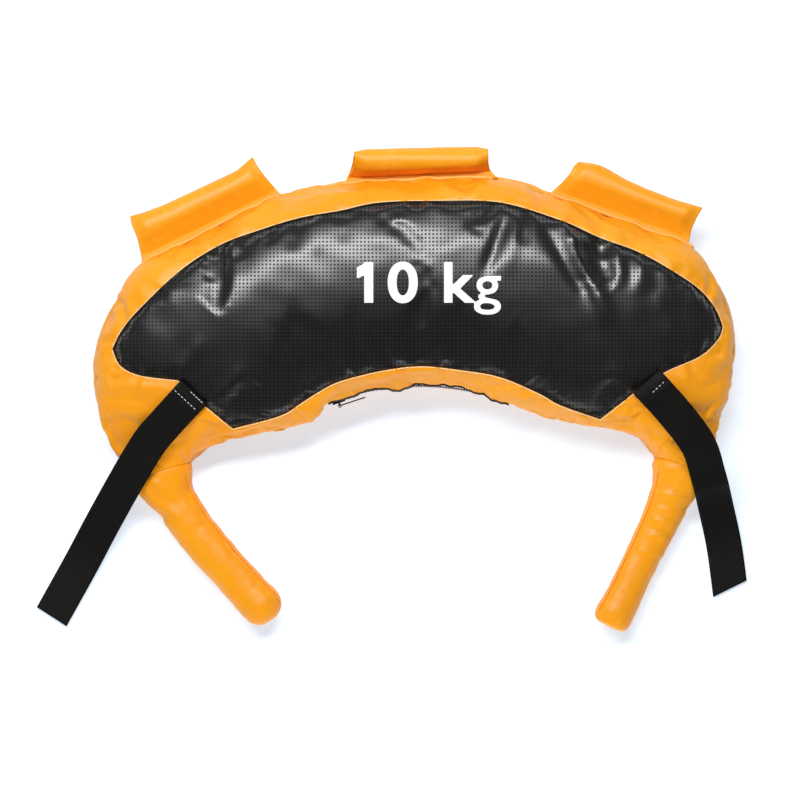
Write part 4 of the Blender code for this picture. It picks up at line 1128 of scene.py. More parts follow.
def shift_inwards(points, distance):
    """Moves points of the panel's opening towards the panel."""
    array = np.array([[tuple(point.co) for point in points]])
    step = 0.0004
    here = near_outline(array)[0][0]
    slope_x = near_outline(array + np.array((step, 0, 0)))[0][0] - here
    slope_y = near_outline(array + np.array((0, step, 0)))[0][0] - here
    for point, x, y in zip(points, slope_x, slope_y):
        length = math.hypot(x, y) or 1.0
        point.co.x -= distance * x / length
        point.co.y -= distance * y / length


def dome_form(points, signed):
    """The front as a grid, and how far each of its vertices is outside the panel's outline."""
    form = grid_form(points)
    columns = points.shape[0]
    outside = {
        vertex: signed[index % columns, index // columns]
        for index, vertex in enumerate(form.verts)
    }
    return form, outside


def make_front_panel():
    """Black pebbled panel, tucked under the orange band all round."""
    points, outwards, signed = dressed_dome()
    form, outside = dome_form(points - outwards * (sizes().cloth + 0.0001), signed)
    gone = [face for face in form.faces if min(outside[v] for v in face.verts) > PANEL_TUCK]
    bmesh.ops.delete(form, geom=gone, context="FACES")
    face_out(form, lambda place: Vector((0, 0, 1)))
    piece = to_piece(form, "front_panel_cloth", pip_cloth())
    add_wall(piece, sizes().cloth * 0.7)
    finish_piece(piece, "bag", "black_cloth", "front_panel")


def make_front_band():
    """Orange band round the panel, cut along its outline with a rolled edge."""
    points, _, signed = dressed_dome()
    form, outside = dome_form(points, signed)
    outer_rim = {vertex for vertex in form.verts if vertex.is_boundary}
    gone = [face for face in form.faces if sum(outside[v] for v in face.verts) < 0]
    bmesh.ops.delete(form, geom=gone, context="FACES")
    ring = [vertex for vertex in form.verts if vertex.is_boundary and vertex not in outer_rim]
    nearest = near_outline(np.array([[tuple(vertex.co) for vertex in ring]]))[1]
    for vertex, (x, y) in zip(ring, nearest[0]):
        hit = point_on_dome(x, y)
        vertex.co = (x, y, hit.z if hit else vertex.co.z)
    held = outer_rim | set(ring)
    beside = dict.fromkeys(
        other for vertex in ring for edge in vertex.link_edges for other in edge.verts
        if other not in held
    )
    bmesh.ops.smooth_vert(
        form, verts=list(beside), factor=0.5,
        use_axis_x=True, use_axis_y=True, use_axis_z=False,
    )
    bmesh.ops.remove_doubles(form, verts=ring, dist=0.0002)
    # Painted highlight: the rolled edge of the opening is painted pale cream.
    rub = form.verts.layers.float.new("rub")
    for vertex in ring:
        if vertex.is_valid:
            vertex[rub] = 1.0
    face_out(form, lambda place: Vector((place.x, place.y + 0.05, 0.3)))
    rim = [
        edge for edge in form.edges
        if edge.is_boundary and not (edge.verts[0] in outer_rim or edge.verts[1] in outer_rim)
    ]
    roll_edge(form, rim, BAND_ROLL)
    piece = to_piece(form, "front_band_cloth", orange_cloth())
    add_wall(piece, sizes().cloth * 0.5)
    finish_piece(piece, "bag", "orange_cloth", "front_band")
    make_rim()


def make_rim():
    """The thin fold that edges the band's opening, painted pale as its highlight."""
    outline = panel_outline()
    line = [
        Vector((x, y, point_on_dome(x, y).z - 0.0001)) for x, y in [*outline, outline[0]]
    ]
    piece = to_piece(tube_form(line, RIM_RADIUS, 1.0), "front_band_rim", orange_cloth())
    finish_piece(piece, "bag", "orange_cloth")


def make_sides():
    """Orange strips between the front's seam and the back."""
    for side, name in ((1, "outer_side_strip"), (-1, "inner_side_strip")):
        form = grid_form(side_points(side))
        bmesh.ops.recalc_face_normals(form, faces=form.faces)
        arch_top = surface_point(LAST_PLACE / 2, 1 - side)
        middle = min(
            form.faces, key=lambda face: (face.calc_center_median() - arch_top).length
        )
        if middle.normal.dot(Vector((0, side, 0))) < 0:
            bmesh.ops.reverse_faces(form, faces=form.faces)
        piece = to_piece(form, f"{name}_cloth", orange_cloth())
        add_wall(piece, sizes().cloth)
        finish_piece(piece, "bag", "orange_cloth", name)


BACK_STEPS = 24
BACK_SHRINK = 0.985


def make_back():
    """Flat back panel that the bag lies on."""
    places = body_places()[::2]
    turns = np.empty((len(places), BACK_STEPS + 1))
    for column, place in enumerate(places):
        start, end = (turn_above_back(place, BACK_LIFT / 4, side) for side in (-1, 1))
        turns[column] = spread(start, end, BACK_STEPS)
    points = body_points(places, turns)
    steps = np.arange(BACK_STEPS + 1)
    edge = np.minimum(steps, BACK_STEPS - steps) / (BACK_STEPS / 2)
    unevenness = 0.0006 + 0.0004 * noise_at(points, 0.03, 8)
    points[..., 2] = unevenness * smooth_step(edge * 2)[None, :]
    middle = points.mean(axis=1, keepdims=True)
    points[..., :2] = middle[..., :2] + (points[..., :2] - middle[..., :2]) * BACK_SHRINK
    form = grid_form(points)
    face_out(form, lambda place: Vector((0, 0, -1)))
    piece = to_piece(form, "back_panel_cloth", back_cloth())
    add_wall(piece, sizes().cloth * 0.7)
    finish_piece(piece, "bag", "black_cloth", "back_panel")


# Where each filling starts and ends along the body
FILLINGS = {
    "sand_sack_left": (3.3, 7.7), "sand_sack_middle": (7.7, 12.3), "sand_sack_right": (12.3, 16.7),
    "lobe_wadding_left": (0.0, 3.3), "lobe_wadding_right": (16.7, float(LAST_PLACE)),
}
FILLING_INSET = 0.0075


def make_fillings():
    """Sand sacks and lobe wadding, rounded at their ends, a little inside the cloth."""
    turns = np.concatenate([
        spread(0, 2, 40), spread(2, 2.7, 8)[1:], spread(2.7, 3.3, 8)[1:], spread(3.3, 4, 8)[1:]
    ])
    for name, (start, end) in FILLINGS.items():
        sand = name.startswith("sand")
        columns = 64 if sand else 44
        places = spread(start + 0.03, end - 0.03, columns)
        points = body_points(places, np.tile(turns, (len(places), 1)))
        outwards = outwards_of(points)
        inset = FILLING_INSET + 0.0012 * noise_at(points, 0.02, 9 if sand else 10)
        points = points - outwards * inset[..., None]
        middle = points[:, :-1].mean(axis=1, keepdims=True)
        run = np.array(spread(-1, 1, columns))
        shrink = (1 - np.abs(run) ** (9 if sand else 12)) ** 0.5
        shrink[[0, -1]] = 0.0
        points = middle + (points - middle) * shrink[:, None, None]
        points[:, -1] = points[:, 0]
        form = grid_form(points, wrap=True)
        form.normal_update()
        close_out(form)
        piece = to_piece(form, f"{name}_fill", plain_finish("sack film" if sand else "wadding"))
        finish_piece(piece, "bag", "sand_sack" if sand else "wadding", name)


HORN_ROWS = 160
RIDGE_TURN = 1.6
NECK_RINGS = 22
TIP_LENGTH = 0.020
STUFFING_INSET = 0.0032
RIDGE_RADIUS = 0.0009


def horn_frame(side):
    """The mouth's middle and way out, the pivot, the grip's root and its heading."""
    place = 0.0 if side == "left" else float(LAST_PLACE)
    middle, across, _, _, _ = section(place)
    outwards = Vector((across.y, -across.x))
    if outwards.y > 0:
        outwards = -outwards
    heading = Vector((math.sin(HORN_HEADINGS[side]), -math.cos(HORN_HEADINGS[side])))
    pivot = middle + outwards * NECK_LENGTH / 2
    root = pivot + heading * NECK_LENGTH / 2
    return middle, outwards, pivot, root, heading


def sideways_of(forward, across):
    """The direction square to a heading that goes the same way as another direction."""
    sideways = Vector((-forward.y, forward.x))
    return -sideways if sideways.dot(across) < 0 else sideways


def horn_points(side, inset, rows):
    """A horn's rings from the body's mouth through its neck to its rounded tip."""
    middle, outwards, pivot, root, heading = horn_frame(side)
    _, across, half_width, crown, seam = section(0.0 if side == "left" else float(LAST_PLACE))
    turns = np.array(spread(0, 4, rows))
    mouth_x, mouth_z = profile(turns, half_width, crown, seam)
    angles = np.arctan2(mouth_z - seam, mouth_x)
    rings = []
    for share in spread(0, 1, NECK_RINGS):
        centre = middle.lerp(pivot, share).lerp(pivot.lerp(root, share), share)
        forward = outwards.lerp(heading, share).normalized()
        sideways = sideways_of(forward, across)
        blend = share * share * (3 - 2 * share)
        x = mouth_x + (HORN_ROOT_RADIUS * np.cos(angles) - mouth_x) * blend
        z = mouth_z + (HORN_AXIS_HEIGHT + HORN_ROOT_RADIUS * np.sin(angles) - mouth_z) * blend
        middle_z = seam + (HORN_AXIS_HEIGHT - seam) * blend
        arms = np.stack([x, z - middle_z], axis=1)
        arms -= arms / np.linalg.norm(arms, axis=1, keepdims=True) * inset
        rings.append(np.stack([
            centre.x + sideways.x * arms[:, 0], centre.y + sideways.y * arms[:, 0],
            middle_z + arms[:, 1],
        ], axis=1))
    sideways = sideways_of(heading, across)
    inner_sign = -1.0 if side == "left" else 1.0
    end, power = HORN_ENDS[side]
    dome = end * MM - inset - TIP_LENGTH
    tip_runs = [dome + TIP_LENGTH * math.sin(step) for step in spread(0, math.pi / 2, 16)[1:]]
    for run in spread(0, dome, 62)[1:] + tip_runs:
        shift, table_half = along_table(HORN_SHAPES[side], run / MM)
        half = table_half * MM - inset
        past = min(max((run - dome) / TIP_LENGTH, 0.0), 1.0)
        half *= (1 - past**power) ** (1 / power)
        flat = root + heading * run + sideways * inner_sign * shift * MM
        low = HORN_AXIS_HEIGHT - (HORN_ROOT_RADIUS - table_half * MM) * 0.9
        rings.append(np.stack([
            flat.x + sideways.x * half * np.cos(angles),
            flat.y + sideways.y * half * np.cos(angles),
            low + half * 0.97 * np.sin(angles),
        ], axis=1))
    return np.array(rings)


def bend_with_horn(piece):
    """Bakes a piece's transform into its mesh."""
    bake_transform(piece)


def horn_relief(points):
    """Height of a horn's folds and unevenness at each point, with a groove beside its ridge."""
    height = fold_heights(points, HORN_FOLDS) * (points[..., 2] > 0.012)
    height += 0.0007 * noise_at(points, 0.016, 11) + 0.0004 * noise_at(points, 0.007, 12)
    aside = (np.arange(HORN_ROWS + 1) - RIDGE_TURN / 4 * HORN_ROWS + 1.6) / 1.1
    height -= 0.0010 * np.exp(-(aside**2))[None, :]
    height *= smooth_step(np.arange(len(points)) / 6)[:, None]
    return height * smooth_step((points[..., 2] - 0.001) / 0.008)


def make_horns():
    """Per side: one skin from the lobe to the grip's tip, its sewn ridge and its stuffing."""
    for side in HORN_HEADINGS:
        points = horn_points(side, 0.0, HORN_ROWS)
        outwards = outwards_of(points)
        centre = points[:, :-1].mean(axis=1, keepdims=True)
        sign = -1.0 if np.sum((points - centre) * outwards) < 0 else 1.0
        points = points + outwards * sign * horn_relief(points)[..., None]
        points[..., 2] = np.maximum(points[..., 2], FLOOR_GAP)
        points[:, -1] = points[:, 0]
        form = grid_form(points, wrap=True)
        centres = centre[:, 0]

        def away(place):
            nearest = centres[np.argmin(np.linalg.norm(centres - np.array(place), axis=1))]
            return place - Vector(nearest)

        face_out(form, away)
        piece = to_piece(form, f"horn_{side}_skin", orange_cloth())
        add_wall(piece, sizes().cloth)
        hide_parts(f"horn_{side}_neck", f"horn_{side}_sleeve")
        bend_with_horn(piece)
        make_stuffing(side)
        make_ridge(side, points)


def make_stuffing(side):
    """Wadding in a horn's neck and grip, closed at the mouth."""
    stuffing = horn_points(side, STUFFING_INSET, 48)[2:]
    stuffing[:, -1] = stuffing[:, 0]
    mouth = stuffing[0, :-1].mean(axis=0)
    closing = np.array([mouth + (stuffing[0] - mouth) * share for share in (0.0, 0.6, 0.9)])
    form = grid_form(np.concatenate([closing, stuffing]), wrap=True)
    close_out(form)
    piece = to_piece(form, f"horn_{side}_stuffing", plain_finish("wadding"))
    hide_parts(f"horn_{side}_neck_wadding", f"horn_{side}_core")
    bend_with_horn(piece)


def tube_form(line, radius, wear_and_highlight=0.0, corners=8):
    """A round tube along a list of points, evenly painted pale by a given share, as a painted
    highlight.
    """
    rings = []
    for index, spot in enumerate(line):
        ahead = (line[min(index + 1, len(line) - 1)] - line[max(index - 1, 0)]).normalized()
        side = ahead.cross(Vector((0, 0, 1))).normalized()
        up = side.cross(ahead)
        share = 0.0 if index in (0, len(line) - 1) else 1.0
        ring = []
        for corner in range(corners + 1):
            angle = 2 * math.pi * (corner % corners) / corners
            ring.append(spot + (side * math.cos(angle) + up * math.sin(angle)) * radius * share)
        rings.append(ring)
    form = grid_form(np.array(rings), wrap=True)
    close_out(form)
    rub = form.verts.layers.float.new("rub")
    for vertex in form.verts:
        vertex[rub] = wear_and_highlight
    return form


def make_ridge(side, points):
    """The sewn ridge along the side of a grip that faces the arch."""
    row = round(RIDGE_TURN / 4 * HORN_ROWS)
    line = []
    for column in range(8, len(points) - 10):
        spot = Vector(points[column, row])
        centre = Vector(points[column, :-1].mean(axis=0))
        line.append(spot + (spot - centre).normalized() * 0.0002)
    # The ridge gets a light painted pale highlight.
    piece = to_piece(tube_form(line, RIDGE_RADIUS, 0.1), f"horn_{side}_ridge", orange_cloth())
    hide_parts(f"horn_{side}_piping")
    bend_with_horn(piece)


ROOT_REACH = 0.0030
LOOP_SLANTS = {"left": 0.002, "right": -0.011}
SLANT_REACH = 0.045
STITCH_HALF_WIDTH = 0.00042
STITCH_HALF_HEIGHT = 0.00032

# Rows of stitches: run from the hinge, spacing, then start and end as shares of the width
STITCH_ROWS = {
    "left": ((0.0078, 1.3, -0.47, 0.47), (-0.0006, 1.04, -0.1, 0.46)),
    "right": ((0.0080, 1.3, -0.1, 0.47),),
}


def ground_tree():
    """A search tree of the finished cloth that the webbing lies on."""
    names = ["front_band_cloth", "front_panel_cloth", "outer_side_strip_cloth"]
    names += [f"horn_{side}_skin" for side in HORN_HEADINGS]
    form = bmesh.new()
    for name in names:
        form.from_mesh(bpy.data.objects[name].data)
    tree = BVHTree.FromBMesh(form)
    form.free()
    return tree


def height_under(tree, x, y):
    hit = tree.ray_cast(Vector((x, y, CROWN_HEIGHT * 2)), Vector((0, 0, -1)))
    return hit[0].z if hit[0] else FLOOR_GAP


def height_over(tree, spot, sideways, tilt, slope):
    """Least height of the webbing's middle that clears what is under its whole width."""
    lifts = []
    for share in ACROSS_SHARES:
        under = height_under(tree, *(spot + sideways * WEBBING_WIDTH * share))
        lifts.append(under - tilt * share * WEBBING_WIDTH)
    thickness = (WEBBING_PLY + WEBBING_SLIT / 2) * math.sqrt(1 + tilt**2 + slope**2)
    return max(lifts) + LOOP_CLEARANCE + thickness


def loop_tilts(tree, spots, sides):
    """How steeply the webbing leans across at each spot, evened out along it."""
    tilts = []
    for spot, sideways in zip(spots, sides):
        ends = [spot + sideways * WEBBING_WIDTH * share for share in (-0.5, 0.5)]
        under = [height_under(tree, *end) for end in ends]
        tilt = (under[1] - under[0]) / WEBBING_WIDTH if min(under) > FLOOR_GAP else 0.0
        tilts.append(min(max(tilt, -LOOP_TILT), LOOP_TILT))
    for _ in range(LOOP_SMOOTHING):
        for index in range(1, len(tilts) - 1):
            tilts[index] = (tilts[index - 1] + 2 * tilts[index] + tilts[index + 1]) / 4
    return tilts


def loop_stations(side, tree):
    """Places along a webbing loop: middle, across direction and run so far."""
    route = LOOP_SHARES[side]
    spots, heights, sides = [], [], []
    for place in spread(0, len(route) - 1, LOOP_STATIONS):
        x, y, height = smooth_row(route, place)
        spots.append(Vector((x * BODY_HALF_SPAN, y * BODY_RISE)))
        heights.append(height)
    last = len(spots) - 1
    for index in range(last + 1):
        ahead = spots[min(index + 1, last)] - spots[max(index - 1, 0)]
        sides.append(Vector((-ahead.y, ahead.x)).normalized())
    tilts = loop_tilts(tree, spots, sides)
    root_height = height_under(tree, *spots[0])
    least = [height_over(tree, *place, 0.0) for place in zip(spots, sides, tilts)]
    levels = [max(low, share * root_height) for low, share in zip(least, heights)]
    for _ in range(LOOP_SMOOTHING):
        for index in range(1, last):
            mean = (levels[index - 1] + levels[index + 1]) / 2
            levels[index] = max(least[index], (levels[index] + mean) / 2)
    for index in range(last):
        step = spots[index + 1] - spots[index]
        for share in BETWEEN_SHARES:
            slope = (levels[index + 1] - levels[index]) / step.length
            sideways = sides[index].lerp(sides[index + 1], share)
            tilt = tilts[index] + (tilts[index + 1] - tilts[index]) * share
            level = levels[index] + (levels[index + 1] - levels[index]) * share
            needed = height_over(tree, spots[index] + step * share, sideways, tilt, slope)
            levels[index] += max(needed - level, 0.0)
            levels[index + 1] += max(needed - level, 0.0)
    found = []
    run = 0.0
    for spot, level, sideways, tilt in zip(spots, levels, sides, tilts):
        middle = Vector((spot.x, spot.y, level))
        if found:
            run += (middle - found[-1][0]).length
        found.append((middle, Vector((sideways.x, sideways.y, tilt)).normalized(), run))
    return found


def at_run(stations, run):
    """Middle, across, along and up directions at a run along the webbing."""
    rows = [(*middle, *across) for middle, across, _ in stations]
    runs = [station[2] for station in stations]
    place = float(np.interp(max(run, 0.0), runs, range(len(runs))))
    numbers = smooth_row(rows, place)
    ahead = smooth_row(rows, min(place + 0.3, len(rows) - 1))
    behind = smooth_row(rows, max(place - 0.3, 0))
    middle, across = Vector(numbers[:3]), Vector(numbers[3:]).normalized()
    along = (Vector(ahead[:3]) - Vector(behind[:3])).normalized()
    up = across.cross(along)
    up = up if up.z > 0 else -up
    return middle + along * min(run, 0.0), across, along, up.normalized()


def webbing_points(stations, start, end, slant=0.0):
    """Middle surface of one doubled length: out on the lower ply, round the fold and back. A
    slant carries the fold's two corners out and in."""
    half = (WEBBING_PLY + WEBBING_SLIT) / 2
    count = max(int((end - start) / WEBBING_STEP), 3)
    path = [(run, -math.pi / 2) for run in spread(start, end, count)]
    path += [(end, angle) for angle in spread(-math.pi / 2, math.pi / 2, 8)[1:-1]]
    path += [(run, math.pi / 2) for run in spread(end, start, count)]
    columns = []
    for run, angle in path:
        middle, across, along, up = at_run(stations, run)
        spoke = along * math.cos(angle) + up * math.sin(angle)
        drawn = float(smooth_step((run - end + SLANT_REACH) / SLANT_REACH))
        columns.append([
            middle + across * WEBBING_WIDTH * share + spoke * half + along * (share * slant * drawn)
            for share in spread(-0.5, 0.5, WEBBING_ROWS)
        ])
    return np.array(columns)


def webbing_piece(name, points, run):
    """A doubled length of webbing, whose weave runs along it."""
    form = grid_form(points, uv_size=(run, WEBBING_WIDTH))
    bmesh.ops.recalc_face_normals(form, faces=form.faces)
    piece = to_piece(form, name, webbing_cloth())
    add_wall(piece, WEBBING_PLY * 0.92, 0.0)
    return piece


def make_loops():
    """Per side: the folded webbing loop, its sewn root and their rows of stitches."""
    tree = ground_tree()
    for side in LOOP_SHARES:
        stations = loop_stations(side, tree)
        last = stations[-1][2] - (WEBBING_PLY + WEBBING_SLIT) / 2 - WEBBING_PLY / 2
        points = webbing_points(stations, ANCHOR_LENGTH + GAP, last, LOOP_SLANTS[side])
        piece = webbing_piece(f"webbing_loop_{side}", points, 2 * last)
        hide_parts(f"loop_{side}")
        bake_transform(piece)

        points = webbing_points(stations, -ROOT_REACH, ANCHOR_LENGTH)
        piece = webbing_piece(f"webbing_root_{side}", points, 2 * ANCHOR_LENGTH)
        finish_piece(piece, "bag", "webbing", f"loop_{side}_root")
        make_stitches(side, stations)


def make_stitches(side, stations):
    """Rows of white stitches across a root."""
    form = bmesh.new()
    top = WEBBING_PLY + WEBBING_SLIT / 2 + 0.0001
    shape = Matrix.Diagonal((sizes().stitch / 2, STITCH_HALF_WIDTH, STITCH_HALF_HEIGHT, 1))
    for run, spacing, start, end in STITCH_ROWS[side]:
        middle, across, along, up = at_run(stations, run)
        lean = Matrix((across, along, up)).transposed().to_4x4()
        pitch = sizes().stitch * spacing
        for index in range(int(WEBBING_WIDTH * (end - start) / pitch)):
            offset = start * WEBBING_WIDTH + (index + 0.5) * pitch
            spot = Matrix.Translation(middle + across * offset + up * top) @ lean
            bmesh.ops.create_icosphere(form, subdivisions=1, radius=1, matrix=spot @ shape)
    piece = to_piece(form, f"root_stitches_{side}", plain_finish("stitching thread"))
    finish_piece(piece, "bag", "webbing")


HANDLE_COLUMNS = 84
HANDLE_HALF_MM = 62
HANDLE_PLY_GAP = 0.00125
HANDLE_ROLL_MIDDLE = 0.0195
WELT_RADIUS = 0.0019
WELT_HEIGHT = 0.0026


def handle_frame(side):
    """Frame on the seam at a handle's middle: X along the seam, Y outwards."""
    place = HANDLE_PLACES[side]
    start = surface_point(place - HANDLE_HEADING_PLACES, 0)
    end = surface_point(place + HANDLE_HEADING_PLACES, 0)
    along = (end - start).normalized()
    outwards = Vector((-along.y, along.x, 0))
    basis = Matrix((along, outwards, Vector((0, 0, 1)))).transposed().to_4x4()
    hinge = Matrix.Translation(surface_point(place, 0)) @ basis
    return hinge @ Matrix.Translation((0, HANDLE_HINGE_OFFSET, 0))


def seam_line(side):
    """The seam under a handle, in the hinge's frame: a row of places along, and how far out."""
    inverse = handle_frame(side).inverted()
    middle = HANDLE_PLACES[side]
    spots = [inverse @ surface_point(place, 0) for place in spread(middle - 1.9, middle + 1.9, 60)]
    return list(zip(*sorted((spot.x, spot.y) for spot in spots)))


def handle_section():
    """The flap's path from the seam over the roll and back: out and up, in the hinge's frame."""
    roll = HANDLE_REACH - HANDLE_HINGE_OFFSET - HANDLE_ROLL_RADIUS
    edge = HANDLE_PLY_GAP
    lean = math.asin((HANDLE_ROLL_RADIUS - edge) / roll)
    arc = [
        (roll + HANDLE_ROLL_RADIUS * math.cos(angle), HANDLE_ROLL_RADIUS * math.sin(angle))
        for angle in spread(-math.pi / 2 - lean, math.pi / 2 + lean, 36)
    ]
    low = [(y, -edge + (arc[0][1] + edge) * y / arc[0][0]) for y in spread(0, arc[0][0], 8)[:-1]]
    high = [(y, -z) for y, z in reversed(low)]
    return low + arc + high


def handle_point(side, share, out, up):
    """A point of a handle's cloth, in the hinge's frame. share runs from -1 to 1 along it."""
    edges = HANDLE_EDGES[side]
    reach = HANDLE_REACH - HANDLE_HINGE_OFFSET
    rim = along_table(edges["rim"], share * HANDLE_HALF_MM)
    stretch = max(out, 0) / reach
    real_out = out if out < 0 else out * (1 + (rim * MM / reach - 1) * stretch**2)
    low = along_table(edges["start"], real_out / MM)
    high = along_table(edges["end"], real_out / MM)
    along = (low + (high - low) * (share + 1) / 2) * MM
    flatten = 1 - 0.42 * smooth_step((abs(share) - 0.80) / 0.20) * (1 if out > 0 else 0)
    waver = 0.0006 * noise.noise(Vector((along * 45, out * 60, up * 40 + 3)))
    raised = up * flatten + waver * stretch
    if out < 0:
        return Vector((along, real_out, raised))
    turn = HANDLE_TILTS[side] * float(smooth_step((out + 0.002) / 0.006))
    return Vector((
        along, real_out * math.cos(turn) - raised * math.sin(turn),
        real_out * math.sin(turn) + raised * math.cos(turn),
    ))


def make_handles():
    """Per handle: one folded flap of cloth from the seam over its roll, a welt and a foam core."""
    for side, tilt in HANDLE_TILTS.items():
        flat = handle_frame(side)
        seam = seam_line(side)
        path = handle_section()
        columns = []
        for share in spread(-1, 1, HANDLE_COLUMNS):
            base = float(np.interp(share * HANDLE_HALF_MM * MM * 1.1, *seam)) - 0.0004
            tail = [(y, -HANDLE_PLY_GAP) for y in spread(base, 0, 5)[:-1]]
            full = tail + path + [(y, -z) for y, z in reversed(tail)]
            columns.append([flat @ handle_point(side, share, out, up) for out, up in full])
        form = grid_form(np.array(columns))
        roll = flat @ Matrix.Rotation(tilt, 4, "X") @ Vector((0, HANDLE_ROLL_MIDDLE, 0))
        face_out(form, lambda place: place - roll)
        piece = to_piece(form, f"handle_{side}_cloth", orange_cloth())
        add_wall(piece, sizes().cloth * 0.9)
        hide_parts(f"handle_{side}_sleeve", f"handle_{side}_flange")
        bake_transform(piece)

        make_welt(side)
        make_core(side, flat @ Matrix.Rotation(tilt, 4, "X"))


def bag_edge(side):
    """How far the bag's cloth stands out under a handle, in the hinge's frame: along and out."""
    inverse = np.array(handle_frame(side).inverted())
    spots = dressed_dome()[0].reshape(-1, 3) @ inverse[:3, :3].T + inverse[:3, 3]
    low = spots[(np.abs(spots[:, 2]) < 0.008) & (spots[:, 1] > -0.03)]
    places = spread(-0.070, 0.070, 60)
    reach = [low[np.abs(low[:, 0] - along) < 0.004][:, 1].max() for along in places]
    seam = seam_line(side)
    for _ in range(3):
        middle = [(reach[i - 1] + reach[i] + reach[i + 1]) / 3 for i in range(1, len(reach) - 1)]
        reach = [reach[0], *middle, reach[-1]]
    return [
        (along, max(out, float(np.interp(along, *seam)))) for along, out in zip(places, reach)
    ]


def make_welt(side):
    """The thin raised line where a handle is sewn into the seam."""
    flat = handle_frame(side)
    line = [flat @ Vector((along, out + 0.0002, WELT_HEIGHT)) for along, out in bag_edge(side)]
    # The welt gets a light painted pale highlight.
    piece = to_piece(tube_form(line, WELT_RADIUS, 0.2), f"handle_{side}_welt", orange_cloth())
    finish_piece(piece, "bag", "orange_cloth")


def make_core(side, frame_at):
    """Foam core inside a handle's roll, a little uneven, with rounded ends."""
    radius = HANDLE_ROLL_RADIUS - HANDLE_WALL - GAP
    half = (HANDLE_GRIP - HANDLE_ROLL_RADIUS) / 2 * 0.94
    rings = []
    for share in spread(-1, 1, 40):
        ring = []
        shrink = (1 - abs(share) ** 14) ** 0.5
        rim = along_table(HANDLE_EDGES[side]["rim"], share * half / MM) * MM
        short = max(HANDLE_REACH - HANDLE_HINGE_OFFSET - rim, 0.0)
        for corner in range(25):
            angle = 2 * math.pi * (corner % 24) / 24
            spot = Vector((share * 6, math.cos(angle), math.sin(angle)))
            wobble = 0.96 + 0.03 * noise.noise(spot)
            arm = (radius - short * 0.55) * shrink * wobble
            out = HANDLE_ROLL_MIDDLE - short * 0.6 + arm * math.cos(angle)
            ring.append(frame_at @ Vector((share * half, out, arm * math.sin(angle))))
        rings.append(ring)
    form = grid_form(np.array(rings), wrap=True)
    close_out(form)
    piece = to_piece(form, f"handle_{side}_foam", plain_finish("handle foam"))
    finish_piece(piece, f"handle_{side}", "handle_foam", f"handle_{side}_core")


TAPE_THICKNESS = 0.0008
TAPE_EDGE_RADIUS = 0.0009
CHAIN_BEVEL = 0.0003
METAL_BEVEL = 0.00025


def arc_point(angle, radius, height):
    x = ARCH_CENTRE.x - math.sin(angle) * radius
    return Vector((x, ARCH_CENTRE.y + math.cos(angle) * radius, height))


def smooth_copy(name, node, material):
    """A merged copy of a frame node with its edges rounded."""
    form = bmesh.new()
    form.from_mesh(bpy.data.objects[node].data)
    bmesh.ops.remove_doubles(form, verts=form.verts, dist=1e-6)
    bmesh.ops.dissolve_limit(
        form, angle_limit=math.radians(4), verts=form.verts, edges=form.edges
    )
    sharp = [
        edge for edge in form.edges
        if edge.is_manifold and edge.calc_face_angle(0) > math.radians(35)
    ]
    bmesh.ops.bevel(
        form, geom=sharp, offset=METAL_BEVEL, affect="EDGES", segments=2, profile=0.5,
        material=-1, clamp_overlap=True,
    )
    bmesh.ops.recalc_face_normals(form, faces=form.faces)
    return to_piece(form, name, material)


def make_zip():
    """Woven tape, its rolled edge, moulded teeth, end stops, slider and pull."""
    heights = (SEAM_HEIGHT - ZIP_TAPE_HEIGHT / 2, SEAM_HEIGHT + ZIP_TAPE_HEIGHT / 2)
    points = np.array([
        [arc_point(angle, ARCH_RADIUS + TAPE_THICKNESS, height) for height in spread(*heights, 8)]
        for angle in spread(ZIP_HALF_ANGLE, -ZIP_HALF_ANGLE, 120)
    ])
    form = grid_form(points, uv_size=(2 * ZIP_HALF_ANGLE * ARCH_RADIUS, ZIP_TAPE_HEIGHT))
    centre = Vector((*ARCH_CENTRE, SEAM_HEIGHT))
    face_out(form, lambda place: centre - place)
    piece = to_piece(form, "zip_tape_cloth", webbing_cloth())
    add_wall(piece, TAPE_THICKNESS, 0.0)
    finish_piece(piece, "bag", "zip", "zip_tape")
    make_tape_edge()
    make_teeth()
    for node, body in (
        ("zip_stop_left", "bag"), ("zip_stop_right", "bag"),
        ("zip_slider", "zip_slider"), ("zip_pull", "zip_pull"),
    ):
        piece = smooth_copy(f"{node}_rounded", node, plain_finish("blackened zip metal"))
        finish_piece(piece, body, "zip_metal", node)


def make_tape_edge():
    """The dark edge of the tape, along the front's wavy edge over the zip."""
    line = []
    for x, y, z in dressed_dome()[0][:, -1]:
        spoke = Vector((x, y)) - ARCH_CENTRE
        if abs(math.atan2(spoke.x, spoke.y)) < ZIP_HALF_ANGLE:
            inwards = spoke.normalized() * 0.0007
            line.append(Vector((x - inwards.x, y - inwards.y, z - 0.0002)))
    form = tube_form(line, TAPE_EDGE_RADIUS)
    piece = to_piece(form, "zip_tape_edge", plain_finish("zip teeth"))
    finish_piece(piece, "bag", "zip")


